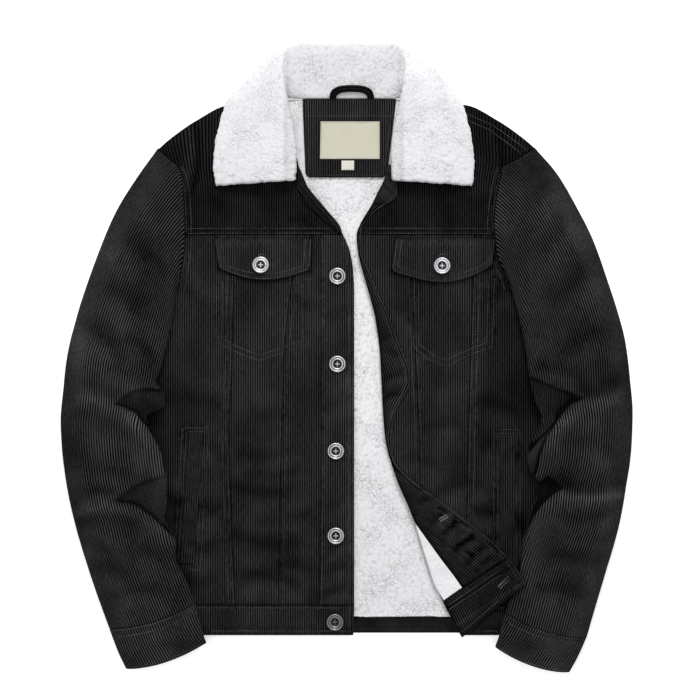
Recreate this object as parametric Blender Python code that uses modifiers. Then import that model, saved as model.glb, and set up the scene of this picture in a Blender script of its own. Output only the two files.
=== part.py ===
"""A corduroy trucker jacket with a pile collar and lining, laid out flat and half open.

Metres, +Z up. The origin is on the flat underside of the back, at the middle of the chest, with
+Y towards the collar and +X towards the wearer's left. "Right" and "left" are the wearer's.
The tables are in millimetres and are read through MM.
"""
import math
from collections import namedtuple

import bmesh
import bpy
from mathutils import Vector

MM = 0.001

# ---------------------------------------------------------------- driving dimensions (mm)
GAP = 0.5                  # between pieces that lie on each other
LOFT = 1.2                 # between the pile lining and the fronts that lie on it
SEAM = 0.15                # each piece stops this far short of a seam line
ARMHOLE_GAP = 1.2          # between the body's armhole and the sleeve's open end
SHELL = 2.0                # one thickness of corduroy
LINED = 4.0                # corduroy with the pile backing of the fronts
PLACKET_EXTRA = 1.0        # the button placket is a folded strip, this much thicker
TURNED = 3.0               # facing, pile and band of the turned-back edge
LABEL = 1.0
SLEEVE_WALL = 2.5
CUFF_WALL = 3.0
COLLAR_WALL = 5.4
LINING_EDGE = 3.5          # top of the back lining at the garment's outline
LINING_MIDDLE = 10.0       # and over the middle of the body
CROWN_REACH = 45.0         # how far in from the outline the full height is reached
NECK_HALF = 100.0          # inside the neck the lining is already off the outline,
NECK_LIFT = 0.6            # by this share of the distance to the neck's side
HEM_RISE = 2.0             # the lining is higher towards the hem than at the sides: it counts
HEM_START = 18.0           # as further in, by this share and from this start
RIDE_EDGE = 12.0           # a sleeve that lies on the body stays up this far past its edge,
RIDE_DOWN = 28.0           # and comes down to the floor in this length
RIDE_TOP_Y = 130.0         # above this level the sleeve does not lie on the body,
RIDE_LENGTH = 40.0         # and this far below it the whole inner edge does
FLATTEST = 9.0             # a sleeve is nowhere flatter than this
RING_POINTS = 22           # corners round one section of a sleeve
WELT_CLIMB_X = 135.0       # where the turned-back corner starts to climb onto the left welt
WELT_CLIMB = 40.0
TIP_CLIMB_X = 182.0        # where its tip starts to climb onto the sleeve
TIP_CLIMB = 36.0
TIP_LIFT = 18.0
NECK_Y = 322.0             # seam of collar and back neck
YOKE_Y = 152.0             # seam under the yokes
SHOULDER_LEVEL = 236.0     # above this level the rows of a panel fan out to the shoulder line
TOP_LEVEL = 258.0
WAIST_SEAM_Y = -312.0
HEM_Y = -350.0
BACK_HEM_Y = -349.0
LINING_HEM_Y = -326.0
COLLAR_CENTRE_X = -4.0
BUTTON_RADIUS = 10.5
BUTTON_HEIGHT = 3.4
BUTTON_STEPS = 16          # corners round a button
WELD = 0.00001             # metres; corners closer than this are one
LOOP_X = 6.0               # middle of the hanger loop
LOOP_SPAN = 28.0           # half its width, outside
LOOP_RISE = 16.5           # how far it stands above the collar seam
LOOP_STRAP = 8.5           # width of its strap
LOOP_FOOT = 14.6           # height of its ends
LOOP_ARCH = 3.0            # and how much higher its middle lies
LOOP_SEAM = 0.8            # its ends start this far above the seam
LOOP_SQUARE = 0.75         # below 1, the arch has fuller shoulders than a circle

# ---------------------------------------------------------------- tables (mm)
# Outline of the body: armhole and side seam on each side, the right front's edge, and the line
# along which the left front is turned back.
Level = namedtuple("Level", "y right_side left_side right_edge left_fold")
BODY = [Level(*row) for row in (
    (258, -238, 236, -84, 80),
    (247, -226.5, 217, -72, 70),
    (236, -215, 198, -60, 60),
    (212, -207, 190, -49, 42),
    (190, -205, 187, -31, 31),
    (168, -204, 185, -14, 18),
    (152, -204, 186, -5, 12),
    (130, -205, 188, 4, 14),
    (104, -209, 199, 8, 20),
    (80, -214, 209, 9, 28),
    (66, -232, 226, 9, 32),
    (56, -250, 246, 9, 34),
    (-5, -251, 250, 9, 42),
    (-70, -257, 255, 9, 45),
    (-104, -258, 256, 9, 48),
    (-154, -254, 252, 9, 62),
    (-208, -250, 249, 9, 85),
    (-258, -246, 245, 9, 100),
    (-312, -241, 241, 9, 122),
    (-350, -239, 239, 8, 143))]

# Shoulder line, the same on both sides of the neck.
Shoulder = namedtuple("Shoulder", "x y")
SHOULDER = [Shoulder(*row) for row in (
    (0, 322), (80, 322), (150, 316), (189, 297), (224, 272.5), (238, 260))]

# Lengthwise seams of the fronts below the yokes.
Seams = namedtuple("Seams", "y right_outer right_inner placket left_inner left_outer")
SEAMS = [Seams(*row) for row in (
    (152, -141, -62, -33, 80, 160),
    (0, -144, -79, -32, 86, 155),
    (-104, -148, -82, -32, 91, 152),
    (-208, -145, -85, -33, 93, 150),
    (-312, -140, -86, -34, 94, 146))]

# The turned-back edge of the left front: where the facing starts and where its free edge lies.
Turn = namedtuple("Turn", "start_x start_y free_x free_y")
FACING = [Turn(*row) for row in (
    (51, 240, 56, 239), (48, 226, 59, 226), (43, 213, 63, 212), (37, 200, 62, 199),
    (26, 181, 45, 187), (16, 164, 29, 176),
    (12, 148, 19, 158), (14, 130, 18, 131), (19, 109, 27, 109), (24, 91, 36, 87),
    (36, 45, 54, 47), (40, 20, 62, 24), (43, -30, 80, -28), (45, -70, 62, -69),
    (48, -104, 56, -104), (53, -124, 60, -131), (62, -154, 84, -156), (75, -184, 116, -179),
    (85, -208, 142, -199), (107, -238, 168, -220), (127, -265, 187, -237),
    (145, -290, 201, -251))]
TURNED_PILE = [Turn(*row) for row in (
    (86, -212, 88, -213), (100, -258, 119, -256), (110, -287, 135, -277), (121, -306, 144, -290))]
TURNED_BAND = [Turn(*row) for row in (
    (122, -307, 202, -252), (132, -330, 213, -267), (144, -353, 222, -283))]

# The edge of the right front that rolls outwards between the collar and the yoke seam.
ROLL = [Turn(*row) for row in (
    (-68, 219, -55, 219), (-50, 189, -34, 193), (-36, 175, -21, 178), (-20, 162, -9, 163),
    (-9, 152.5, -5.5, 152.5))]

# Sleeves: the two edges of each section, as seen from above, and the height of the section.
Section = namedtuple("Section", "outer_x outer_y inner_x inner_y height")
RIGHT_SLEEVE = [Section(*row) for row in (
    (-243, 261, -214, 82, 10), (-266, 226, -216, 60, 23), (-292, 180, -220, 35, 32),
    (-314, 123, -226, 8, 38), (-334, 62, -232, -17, 40), (-341, 38, -238, -34, 37),
    (-346, 18, -227, -47, 41), (-351, -8, -227, -62, 40), (-355, -40, -250, -76, 32),
    (-358, -80, -240, -100, 38), (-356, -118, -229, -127, 40), (-352, -150, -224, -152, 41),
    (-347, -180, -224, -180, 38), (-341, -208, -227, -206, 33), (-333, -235, -213, -231, 38),
    (-325, -262, -213, -252, 34), (-314, -295, -200, -279, 34), (-298, -341, -189, -308, 28))]
LEFT_SLEEVE = [Section(*row) for row in (
    (242, 262, 209, 82, 10), (268, 229, 214, 55, 23), (289, 189, 219, 30, 32),
    (308, 147, 223, 5, 37), (323, 102, 226, -20, 40), (338, 56, 230, -40, 40),
    (348, 18, 234, -56, 37), (354, -25, 243, -80, 32), (357, -70, 228, -105, 40),
    (356, -105, 224, -126, 40), (354, -132, 228, -145, 37), (350, -160, 243, -163, 31),
    (345, -188, 231, -189, 37), (340, -212, 226, -206, 39), (333, -240, 219, -230, 34),
    (325, -268, 217, -256, 29), (313, -308, 208, -290, 30), (300, -352, 197, -320, 32))]
RIGHT_CUFF = [Section(*row) for row in (
    (-297, -343, -188, -311, 29), (-286, -373, -181, -340, 27), (-277, -392, -176, -359, 25))]
LEFT_CUFF = [Section(*row) for row in (
    (299, -355, 196, -323, 32), (289, -377, 190, -347, 29), (279, -396, 186, -365, 26))]
CAP_BOW = (1.0, 0.8, 0.5, 0.2)     # how much of the armhole's curve the first sections keep
CUFF_BOW = 7.0                     # the cuffs' edges bow downwards by this much

# Collar, right half, from its front end to the middle of the back: seam on the neck, roll line,
# the outermost point of the fall, and the fall's free edge. x is counted from the collar's middle,
# and rise is how far the stand bows up, or down, between seam and roll.
Collar = namedtuple("Collar", "seam_x seam_y seam_z rise roll_x roll_y roll_z"
                              " out_x out_y out_z free_x free_y free_z")
COLLAR = [Collar(*row) for row in (
    (83, 221, 18.8, -2.4, 64, 220, 23.6, 110, 216, 28, 160, 213, 19),
    (83, 236, 18.8, -2.4, 63, 238, 23.8, 112, 237, 29, 163, 233, 19),
    (84, 258, 18.8, -2.2, 63, 262, 24, 112, 263, 29, 161, 264, 18.7),
    (84, 285, 18.4, -1.5, 67, 290, 25, 112, 292, 28, 155, 293, 18),
    (80, 308, 16, 0, 73, 320, 27, 112, 322, 27, 146, 319, 16.5),
    (73, 323, 10, 1, 77, 346, 26, 116, 344, 21, 131, 337, 8),
    (62, 323, 9, 1.5, 78, 366, 21, 109, 362, 12, 112, 345, 4.2),
    (52, 323, 9, 1.5, 76, 380, 15, 92, 376, 6, 88, 342, 3.8),
    (38, 323, 9, 1.5, 60, 390, 9.5, 66, 376, 4, 60, 339, 3.8),
    (20, 323, 9, 1.5, 32, 391, 8.4, 33, 374, 3.8, 31, 337, 3.8),
    (0, 323, 9, 1.5, 0, 391, 8.4, 0, 374, 3.8, 0, 337, 3.8))]
ROLL_RADIUS = 3.7
COLLAR_STEPS = 2                   # sections made for each row of the table

# The corduroy patch inside the back neck, and the two labels sewn onto it.
Layer = namedtuple("Layer", "low_left low_right top_left top_right low_y top_y")
NECK_PATCH = Layer(-52, 50, -56, 62, 224, NECK_Y - GAP)
MAIN_LABEL = Layer(-34, 41, -33, 41, 247, 294)
SIZE_LABEL = Layer(-7, 9, -7, 9, 233, 245)

# Buttons on the right placket and waistband, then one on each pocket flap.
Button = namedtuple("Button", "name x y")
BUTTONS = [Button(*row) for row in (
    ("button_1", -12, 100), ("button_2", -12, -10), ("button_3", -14, -119),
    ("button_4", -14, -225), ("button_5", -15, -333))]
FLAP_BUTTONS = [Button("right_flap_button", -108, 114), Button("left_flap_button", 119, 113)]

# The profile of a button: share of its radius and of its height, from the middle outwards.
BUTTON_PROFILE = ((0.0, 0.55), (0.62, 0.55), (0.76, 1.0), (0.92, 0.95), (1.0, 0.6), (0.88, 0.0))

Flap = namedtuple("Flap", "top_inner top_outer low_inner low_outer top_y inner_y outer_y point_y")
RIGHT_FLAP = Flap(-44, -166, -46, -161, 147, 108, 110, 95)
LEFT_FLAP = Flap(61, 186, 56, 183, 147, 106, 114, 92)

Welt = namedtuple("Welt", "top_x top_y low_x low_y width")
RIGHT_WELT = Welt(-199, -97, -210, -261, 19)
LEFT_WELT = Welt(191, -99, 191, -262, 19)


# ---------------------------------------------------------------- small helpers
def column(table, name, at, key="y"):
    """A table's column at a place between its rows, read along straight lines."""
    rows = sorted(table, key=lambda row: getattr(row, key))
    at = min(max(at, getattr(rows[0], key)), getattr(rows[-1], key))
    for low, high in zip(rows, rows[1:]):
        start, end = getattr(low, key), getattr(high, key)
        if at <= end:
            share = (at - start) / (end - start)
            return getattr(low, name) * (1 - share) + getattr(high, name) * share
    return getattr(rows[-1], name)


def mix(start, end, share):
    return start + (end - start) * share


def ease(share):
    share = min(max(share, 0.0), 1.0)
    return share * share * (3 - 2 * share)


def signed_power(value, power):
    return math.copysign(abs(value) ** power, value)


def shoulder_y(x):
    return column(SHOULDER, "y", abs(x), key="x")


def side_x(y, side):
    return column(BODY, side, y)


# ---------------------------------------------------------------- how the layers lie
def inset(x, y):
    """How far a point lies inside the body's outline."""
    sides = min(x - side_x(y, "right_side"), side_x(y, "left_side") - x)
    neck = NECK_LIFT * max(0.0, NECK_HALF - abs(x))
    return min(sides, shoulder_y(x) - y + neck, HEM_RISE * (y - HEM_Y) + HEM_START)


def lining_top(x, y):
    share = min(max(inset(x, y) / CROWN_REACH, 0.0), 1.0)
    return mix(LINING_EDGE, LINING_MIDDLE, math.sin(share * math.pi / 2))


def front_low(x, y):
    return lining_top(x, y) + LOFT


def front_top(x, y):
    return front_low(x, y) + LINED


def on_front(x, y):
    return front_top(x, y) + GAP


def sleeve_floor(x, y):
    """The height a sleeve lies at: on the body, and down to the floor beside it."""
    outside = max(side_x(y, "right_side") - x, x - side_x(y, "left_side"), HEM_Y - y)
    riding = ease((RIDE_TOP_Y - y) / RIDE_LENGTH)
    over = front_top(x, y) + GAP + SHELL + GAP
    return riding * over * (1 - ease((outside - RIDE_EDGE) / RIDE_DOWN))


# ---------------------------------------------------------------- making pieces
def material(name, colour, roughness, metallic=0.0):
    made = bpy.data.materials.get(name)
    if made is None:
        made = bpy.data.materials.new(name)
        made.use_nodes = True
        shader = made.node_tree.nodes["Principled BSDF"]
        shader.inputs["Base Color"].default_value = (*colour, 1.0)
        shader.inputs["Roughness"].default_value = roughness
        shader.inputs["Metallic"].default_value = metallic
        made.diffuse_color = (*colour, 1.0)
    return made


def corduroy():
    return material("black_corduroy", (0.012, 0.012, 0.013), 0.85)


def pile():
    return material("white_pile", (0.82, 0.81, 0.79), 0.95)


def label_cloth():
    return material("label_cloth", (0.62, 0.66, 0.52), 0.7)


def button_metal():
    return material("button_metal", (0.33, 0.33, 0.34), 0.35, 0.8)


def finish(name, bm, finish_material, smooth=False):
    """Turn a bmesh into a named object in the jacket's collection, under its empty."""
    bmesh.ops.recalc_face_normals(bm, faces=bm.faces)
    mesh = bpy.data.meshes.new(name)
    bm.to_mesh(mesh)
    bm.free()
    mesh.materials.append(finish_material)
    if smooth:
        mesh.shade_smooth()
        mesh.set_sharp_from_angle(angle=math.radians(40))
    made = bpy.data.objects.new(name, mesh)
    bpy.data.collections["jacket"].objects.link(made)
    made.parent = bpy.data.objects["jacket_root"]
    return made


def grid(columns, rows, place):
    """A flat grid whose corners run over u and v from 0 to 1 and are put where place says."""
    bm = bmesh.new()
    bmesh.ops.create_grid(bm, x_segments=columns, y_segments=rows, size=0.5)
    for vert in bm.verts:
        vert.co = place(vert.co.x + 0.5, vert.co.y + 0.5)
    return bm


def slab(name, columns, rows, place, low, high, cloth):
    """A cloth layer between two height functions, over the outline that place gives in mm."""
    bm = grid(columns, rows, lambda u, v: Vector((*place(u, v), 0.0)))
    raised = bmesh.ops.extrude_face_region(bm, geom=bm.faces[:])
    upper = {item for item in raised["geom"] if isinstance(item, bmesh.types.BMVert)}
    for vert in bm.verts:
        x, y, _ = vert.co
        height = high(x, y) if vert in upper else low(x, y)
        vert.co = Vector((x, y, height)) * MM
    return finish(name, bm, cloth)


def between(levels, start, end):
    """A place function for a panel that runs from start(level) to end(level) at each level."""
    def place(u, v):
        level = levels[round(v * (len(levels) - 1))]
        x = mix(start(level) + SEAM, end(level) - SEAM, u)
        if level <= SHOULDER_LEVEL:
            return x, level
        top_x = mix(start(TOP_LEVEL) + SEAM, end(TOP_LEVEL) - SEAM, u)
        share = (level - SHOULDER_LEVEL) / (TOP_LEVEL - SHOULDER_LEVEL)
        return x, mix(SHOULDER_LEVEL, shoulder_y(top_x), share)
    return place


def body_levels(low, high):
    """The body table's levels between two seams, kept clear of both."""
    inner = sorted(row.y for row in BODY if low < row.y < high)
    top = high - SEAM if high <= SHOULDER_LEVEL else high
    return [low + SEAM, *inner, top]


def panel(name, columns, low, high, start, end, bottom, top, cloth):
    levels = body_levels(low, high)
    return slab(name, columns, len(levels) - 1, between(levels, start, end), bottom, top, cloth)


def side(name, shift=0.0):
    return lambda y: side_x(y, name) + shift


def seam(name):
    return lambda y: column(SEAMS, name, y)


# ---------------------------------------------------------------- back
def add_back():
    panel("back", 6, WAIST_SEAM_Y, TOP_LEVEL, side("right_side"), side("left_side"),
          lambda x, y: 0.0, lambda x, y: SHELL, corduroy())
    panel("back_waistband", 6, BACK_HEM_Y, WAIST_SEAM_Y, side("right_side"), side("left_side"),
          lambda x, y: 0.0, lambda x, y: SHELL, corduroy())
    panel("back_lining", 14, LINING_HEM_Y, TOP_LEVEL, side("right_side", 1.5),
          side("left_side", -1.5), lambda x, y: SHELL + GAP, lining_top, pile())


def neck_layer(name, outline, columns, rows, lift, thickness, cloth):
    """A four-cornered layer on the lining inside the back neck."""
    def place(u, v):
        left = mix(outline.low_left, outline.top_left, v)
        right = mix(outline.low_right, outline.top_right, v)
        return mix(left, right, u), mix(outline.low_y, outline.top_y, v)
    slab(name, columns, rows, place, lambda x, y: lining_top(x, y) + lift,
         lambda x, y: lining_top(x, y) + lift + thickness, cloth)


def add_neck():
    neck_layer("neck_patch", NECK_PATCH, 6, 5, GAP, SHELL, corduroy())
    on_patch = GAP + SHELL + GAP
    neck_layer("main_label", MAIN_LABEL, 4, 3, on_patch, LABEL, label_cloth())
    neck_layer("size_label", SIZE_LABEL, 1, 1, on_patch, LABEL, label_cloth())


def add_hanger_loop():
    """A strap sewn to the collar seam at both ends, lying in an arch on the collar's stand."""
    def place(u, v):
        turn = math.pi * (1 - u)
        across = signed_power(math.cos(turn), LOOP_SQUARE)
        up = abs(math.sin(turn)) ** LOOP_SQUARE
        reach = mix(-LOOP_STRAP, 0.0, v)
        x = LOOP_X + across * (LOOP_SPAN + reach)
        y = NECK_Y + LOOP_SEAM + up * (LOOP_RISE + reach)
        return Vector((x, y, LOOP_FOOT + LOOP_ARCH * up)) * MM

    bm = grid(12, 1, place)
    made = finish("hanger_loop", bm, corduroy())
    wall(made, SHELL)


def wall(made, thickness):
    """Give an open surface its thickness, growing against its normals."""
    solid = made.modifiers.new("thickness", "SOLIDIFY")
    solid.thickness = thickness * MM
    solid.offset = -1.0


# ---------------------------------------------------------------- fronts
def add_fronts():
    cloth = corduroy()
    bottom, top = front_low, front_top
    panel("right_yoke", 6, YOKE_Y, TOP_LEVEL, side("right_side"), side("right_edge"),
          bottom, top, cloth)
    panel("left_yoke", 6, YOKE_Y, TOP_LEVEL, side("left_fold"), side("left_side"),
          bottom, top, cloth)
    panel("right_side_panel", 3, WAIST_SEAM_Y, YOKE_Y, side("right_side"), seam("right_outer"),
          bottom, top, cloth)
    panel("right_centre_panel", 2, WAIST_SEAM_Y, YOKE_Y, seam("right_outer"),
          seam("right_inner"), bottom, top, cloth)
    panel("right_front_panel", 2, WAIST_SEAM_Y, YOKE_Y, seam("right_inner"), seam("placket"),
          bottom, top, cloth)
    panel("right_placket", 2, WAIST_SEAM_Y, YOKE_Y, seam("placket"), side("right_edge"),
          bottom, lambda x, y: front_top(x, y) + PLACKET_EXTRA, cloth)
    panel("left_side_panel", 3, WAIST_SEAM_Y, YOKE_Y, seam("left_outer"), side("left_side"),
          bottom, top, cloth)
    panel("left_centre_panel", 2, WAIST_SEAM_Y, YOKE_Y,
          lambda y: max(column(SEAMS, "left_inner", y), side_x(y, "left_fold")),
          seam("left_outer"), bottom, top, cloth)
    panel("left_front_panel", 2, -208, YOKE_Y, side("left_fold"), seam("left_inner"),
          bottom, top, cloth)
    panel("right_waistband", 6, HEM_Y, WAIST_SEAM_Y, side("right_side"), side("right_edge"),
          bottom, lambda x, y: front_top(x, y) + PLACKET_EXTRA, cloth)
    panel("left_waistband", 4, HEM_Y, WAIST_SEAM_Y, side("left_fold"), side("left_side"),
          bottom, lambda x, y: front_top(x, y) + PLACKET_EXTRA, cloth)


def under_turned_edge(x, y):
    """The turned-back corner climbs onto the pocket welt, and its tip onto the sleeve."""
    onto_welt = (SHELL + GAP) * ease((x - WELT_CLIMB_X) / WELT_CLIMB)
    onto_sleeve = TIP_LIFT * ease((x - TIP_CLIMB_X) / TIP_CLIMB)
    return on_front(x, y) + onto_welt + onto_sleeve


def strip(name, rows, columns, lift, thickness, cloth):
    """A strip over the fronts whose rows run from start to free edge."""
    def place(u, v):
        row = rows[round(v * (len(rows) - 1))]
        return mix(row.start_x, row.free_x, u), mix(row.start_y, row.free_y, u)
    slab(name, columns, len(rows) - 1, place, lambda x, y: under_turned_edge(x, y) + lift,
         lambda x, y: under_turned_edge(x, y) + lift + thickness, cloth)


def add_turned_edges():
    strip("left_facing", FACING, 3, 0.0, TURNED, corduroy())
    strip("left_turned_lining", TURNED_PILE, 2, 0.0, TURNED, pile())
    strip("left_turned_band", TURNED_BAND, 4, PLACKET_EXTRA, TURNED, corduroy())
    strip("right_neck_roll", ROLL, 2, 0.0, SHELL, corduroy())


def add_flap(name, flap):
    def place(u, v):
        x = mix(mix(flap.low_outer, flap.top_outer, v), mix(flap.low_inner, flap.top_inner, v), u)
        edge = mix(flap.outer_y, flap.inner_y, u)
        middle = 1 - abs(2 * u - 1)
        low = mix(edge, flap.point_y, math.sin(middle * math.pi / 2))
        return x, mix(low, flap.top_y, v)
    slab(name, 8, 2, place, on_front, lambda x, y: on_front(x, y) + SHELL, corduroy())


def add_welt(name, welt):
    def place(u, v):
        left = mix(welt.low_x, welt.top_x, v)
        return left + u * welt.width, mix(welt.low_y, welt.top_y, v)
    slab(name, 2, 6, place, on_front, lambda x, y: on_front(x, y) + SHELL, corduroy())


# ---------------------------------------------------------------- sleeves and cuffs
def section_ring(section, bow):
    """The points round one section, from the inner edge over the top to the outer edge."""
    ring = []
    for step in range(RING_POINTS):
        turn = 2 * math.pi * step / RING_POINTS
        across = 0.5 - 0.5 * signed_power(math.cos(turn), 0.85)
        x, y = bow(section, across)
        low = sleeve_floor(x, y)
        high = max(section.height + 0.35 * low, low + FLATTEST)
        power = 0.85 if math.sin(turn) > 0 else 0.4
        rise = 0.5 + 0.5 * signed_power(math.sin(turn), power)
        ring.append(Vector((x, y, mix(low, high, rise))) * MM)
    return ring


def chord(section, across):
    return (mix(section.inner_x, section.outer_x, across),
            mix(section.inner_y, section.outer_y, across))


def cap_bow(sections, side_name):
    """The sleeve head follows the armhole, and the sections after it less and less."""
    head = sections[0]
    outwards = -1 if side_name == "right_side" else 1

    def place(section, across):
        index = sections.index(section)
        x, y = chord(section, across)
        if index >= len(CAP_BOW):
            return x, y
        head_x, head_y = chord(head, across)
        armhole = side_x(head_y, side_name) + outwards * ARMHOLE_GAP
        return x + (armhole - head_x) * CAP_BOW[index], y
    return place


def cuff_bow(section, across):
    x, y = chord(section, across)
    return x, y - CUFF_BOW * 4 * across * (1 - across)


def sleeve_bow(sections, side_name):
    """Armhole curve at the sleeve head, the cuff seam's bow at its other end."""
    head = cap_bow(sections, side_name)

    def place(section, across):
        if section is sections[-1]:
            return cuff_bow(section, across)
        return head(section, across)
    return place


def tube(name, sections, bow, thickness, cloth):
    """An open tube through the sections: a grid closed along its length, then given a wall."""
    rings = [section_ring(section, bow) for section in sections]

    def place(u, v):
        return rings[round(v * (len(rings) - 1))][round(u * RING_POINTS) % RING_POINTS]

    bm = grid(RING_POINTS, len(rings) - 1, place)
    bmesh.ops.remove_doubles(bm, verts=bm.verts, dist=WELD)
    made = finish(name, bm, cloth, smooth=True)
    wall(made, thickness)


def add_sleeves():
    tube("right_sleeve", RIGHT_SLEEVE, sleeve_bow(RIGHT_SLEEVE, "right_side"), SLEEVE_WALL,
         corduroy())
    tube("left_sleeve", LEFT_SLEEVE, sleeve_bow(LEFT_SLEEVE, "left_side"), SLEEVE_WALL,
         corduroy())
    tube("right_cuff", RIGHT_CUFF, cuff_bow, CUFF_WALL, corduroy())
    tube("left_cuff", LEFT_CUFF, cuff_bow, CUFF_WALL, corduroy())


# ---------------------------------------------------------------- collar
def collar_section(row, mirror):
    """One section of the collar, from the neck seam over the roll line to the free edge."""
    def point(name):
        x, y, z = (getattr(row, f"{name}_{axis}") for axis in "xyz")
        return Vector((COLLAR_CENTRE_X + mirror * x, y, z))
    seam_point, roll, out, free = (point(name) for name in ("seam", "roll", "out", "free"))
    stand = (seam_point + roll) / 2 + Vector((0, 0, row.rise))
    nose = (roll - (stand + out) / 2).normalized()
    turn = (out - stand).normalized()
    turn = (turn - nose * turn.dot(nose)).normalized()
    bend = roll - nose * ROLL_RADIUS
    knots = [seam_point, stand, bend - turn * ROLL_RADIUS, roll, bend + turn * ROLL_RADIUS,
             out, free]
    ends = [2 * knots[0] - knots[1], *knots, 2 * knots[-1] - knots[-2]]
    points = [knots[0]]
    for quad in zip(ends, ends[1:], ends[2:], ends[3:]):
        points += [through(*quad, 0.5), through(*quad, 1.0)]
    return points


def through(before, start, end, after, share):
    """A point on the smooth curve that passes through start and end."""
    square, cube = share ** 2, share ** 3
    return 0.5 * (2 * start + (end - before) * share
                  + (2 * before - 5 * start + 4 * end - after) * square
                  + (3 * start - before - 3 * end + after) * cube)


def between_rows(rows, steps):
    """The collar's rows with smooth ones between them; past its middle the rows mirror."""
    last = rows[-2]._replace(**{name: -getattr(rows[-2], name)
                                for name in ("seam_x", "roll_x", "out_x", "free_x")})
    ends = [rows[0], *rows, last]
    filled = [rows[0]]
    for quad in zip(ends, ends[1:], ends[2:], ends[3:]):
        for step in range(steps):
            share = (step + 1) / steps
            filled.append(Collar(*(through(*values, share) for values in zip(*quad))))
    return filled


def add_collar():
    rows = between_rows(COLLAR, COLLAR_STEPS)
    rights = [collar_section(row, -1) for row in rows]
    lefts = [collar_section(row, 1) for row in reversed(rows[:-1])]
    sections = rights + lefts
    across = len(sections[0]) - 1

    def place(u, v):
        return sections[round(v * (len(sections) - 1))][round(u * across)] * MM

    bm = grid(across, len(sections) - 1, place)
    made = finish("collar", bm, pile(), smooth=True)
    wall(made, COLLAR_WALL)
    made.modifiers["thickness"].offset = 0.0


# ---------------------------------------------------------------- buttons
def add_button(button, surface):
    """A turned button with a raised rim, lying on the cloth below it."""
    rim = [(button.x + BUTTON_RADIUS * math.cos(turn), button.y + BUTTON_RADIUS * math.sin(turn))
           for turn in (math.pi * step / 4 for step in range(8))]
    seat = max(surface(x, y) for x, y in rim) + GAP
    bm = bmesh.new()
    verts = [bm.verts.new((share * BUTTON_RADIUS * MM, 0.0, height * BUTTON_HEIGHT * MM))
             for share, height in (*BUTTON_PROFILE, (0.0, 0.0))]
    edges = [bm.edges.new(pair) for pair in zip(verts, verts[1:])]
    bmesh.ops.spin(bm, geom=verts + edges, axis=(0, 0, 1), cent=(0, 0, 0),
                   steps=BUTTON_STEPS, angle=2 * math.pi, use_merge=True)
    bmesh.ops.remove_doubles(bm, verts=bm.verts, dist=WELD)
    made = finish(button.name, bm, button_metal(), smooth=True)
    made.location = Vector((button.x, button.y, seat)) * MM


def add_buttons():
    for button in BUTTONS:
        add_button(button, lambda x, y: front_top(x, y) + PLACKET_EXTRA)
    for button in FLAP_BUTTONS:
        add_button(button, lambda x, y: on_front(x, y) + SHELL)


# ---------------------------------------------------------------- the jacket
def main():
    for old in list(bpy.data.objects):
        bpy.data.objects.remove(old, do_unlink=True)
    bpy.context.scene.collection.children.link(bpy.data.collections.new("jacket"))
    root = bpy.data.objects.new("jacket_root", None)
    bpy.data.collections["jacket"].objects.link(root)
    add_back()
    add_neck()
    add_hanger_loop()
    add_fronts()
    add_turned_edges()
    add_flap("right_flap", RIGHT_FLAP)
    add_flap("left_flap", LEFT_FLAP)
    add_welt("right_welt", RIGHT_WELT)
    add_welt("left_welt", LEFT_WELT)
    add_sleeves()
    add_collar()
    add_buttons()


main()
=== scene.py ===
# %% [markdown]
# # A corduroy trucker jacket with a pile collar, laid out flat
#
# The jacket is black cotton corduroy, with a curly white pile on its collar and lining. It lies
# on its back, the right front done up along the middle and the left front turned back.
# Everything here is cloth, so nearly every piece is a grid whose points are put on a surface by
# a function. Blender could also drape such a jacket by simulation, but a laid-out garment keeps
# the shape that someone's hands gave it, and a function says that shape exactly.

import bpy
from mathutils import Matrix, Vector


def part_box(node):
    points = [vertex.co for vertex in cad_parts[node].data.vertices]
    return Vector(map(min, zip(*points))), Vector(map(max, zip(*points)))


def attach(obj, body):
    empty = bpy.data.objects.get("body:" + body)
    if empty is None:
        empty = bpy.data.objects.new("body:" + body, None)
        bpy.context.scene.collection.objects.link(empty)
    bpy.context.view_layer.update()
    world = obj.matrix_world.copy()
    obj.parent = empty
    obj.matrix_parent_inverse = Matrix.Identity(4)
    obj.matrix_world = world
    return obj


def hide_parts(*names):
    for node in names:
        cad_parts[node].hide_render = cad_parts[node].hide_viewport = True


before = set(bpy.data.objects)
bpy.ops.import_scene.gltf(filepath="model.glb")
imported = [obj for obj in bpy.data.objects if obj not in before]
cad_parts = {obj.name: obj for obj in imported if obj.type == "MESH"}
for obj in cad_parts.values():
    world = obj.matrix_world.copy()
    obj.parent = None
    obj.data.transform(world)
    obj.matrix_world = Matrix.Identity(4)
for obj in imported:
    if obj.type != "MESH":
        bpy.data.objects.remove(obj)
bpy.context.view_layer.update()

import math

import bmesh
import bpy
import numpy as np
from mathutils import Matrix, Vector
from mathutils.bvhtree import BVHTree

# %% [markdown]
# ## The cutter's measurements
#
# A pattern cutter works from a few tables of measurements: the outline at each level of the
# body, the seams, the two edges of every section of a sleeve. These are the same ones that the
# frame is cut to, in millimetres. Each column is read along a smooth curve that never swings
# past its own rows, so a seam runs as evenly as a pressed one does.

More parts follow.
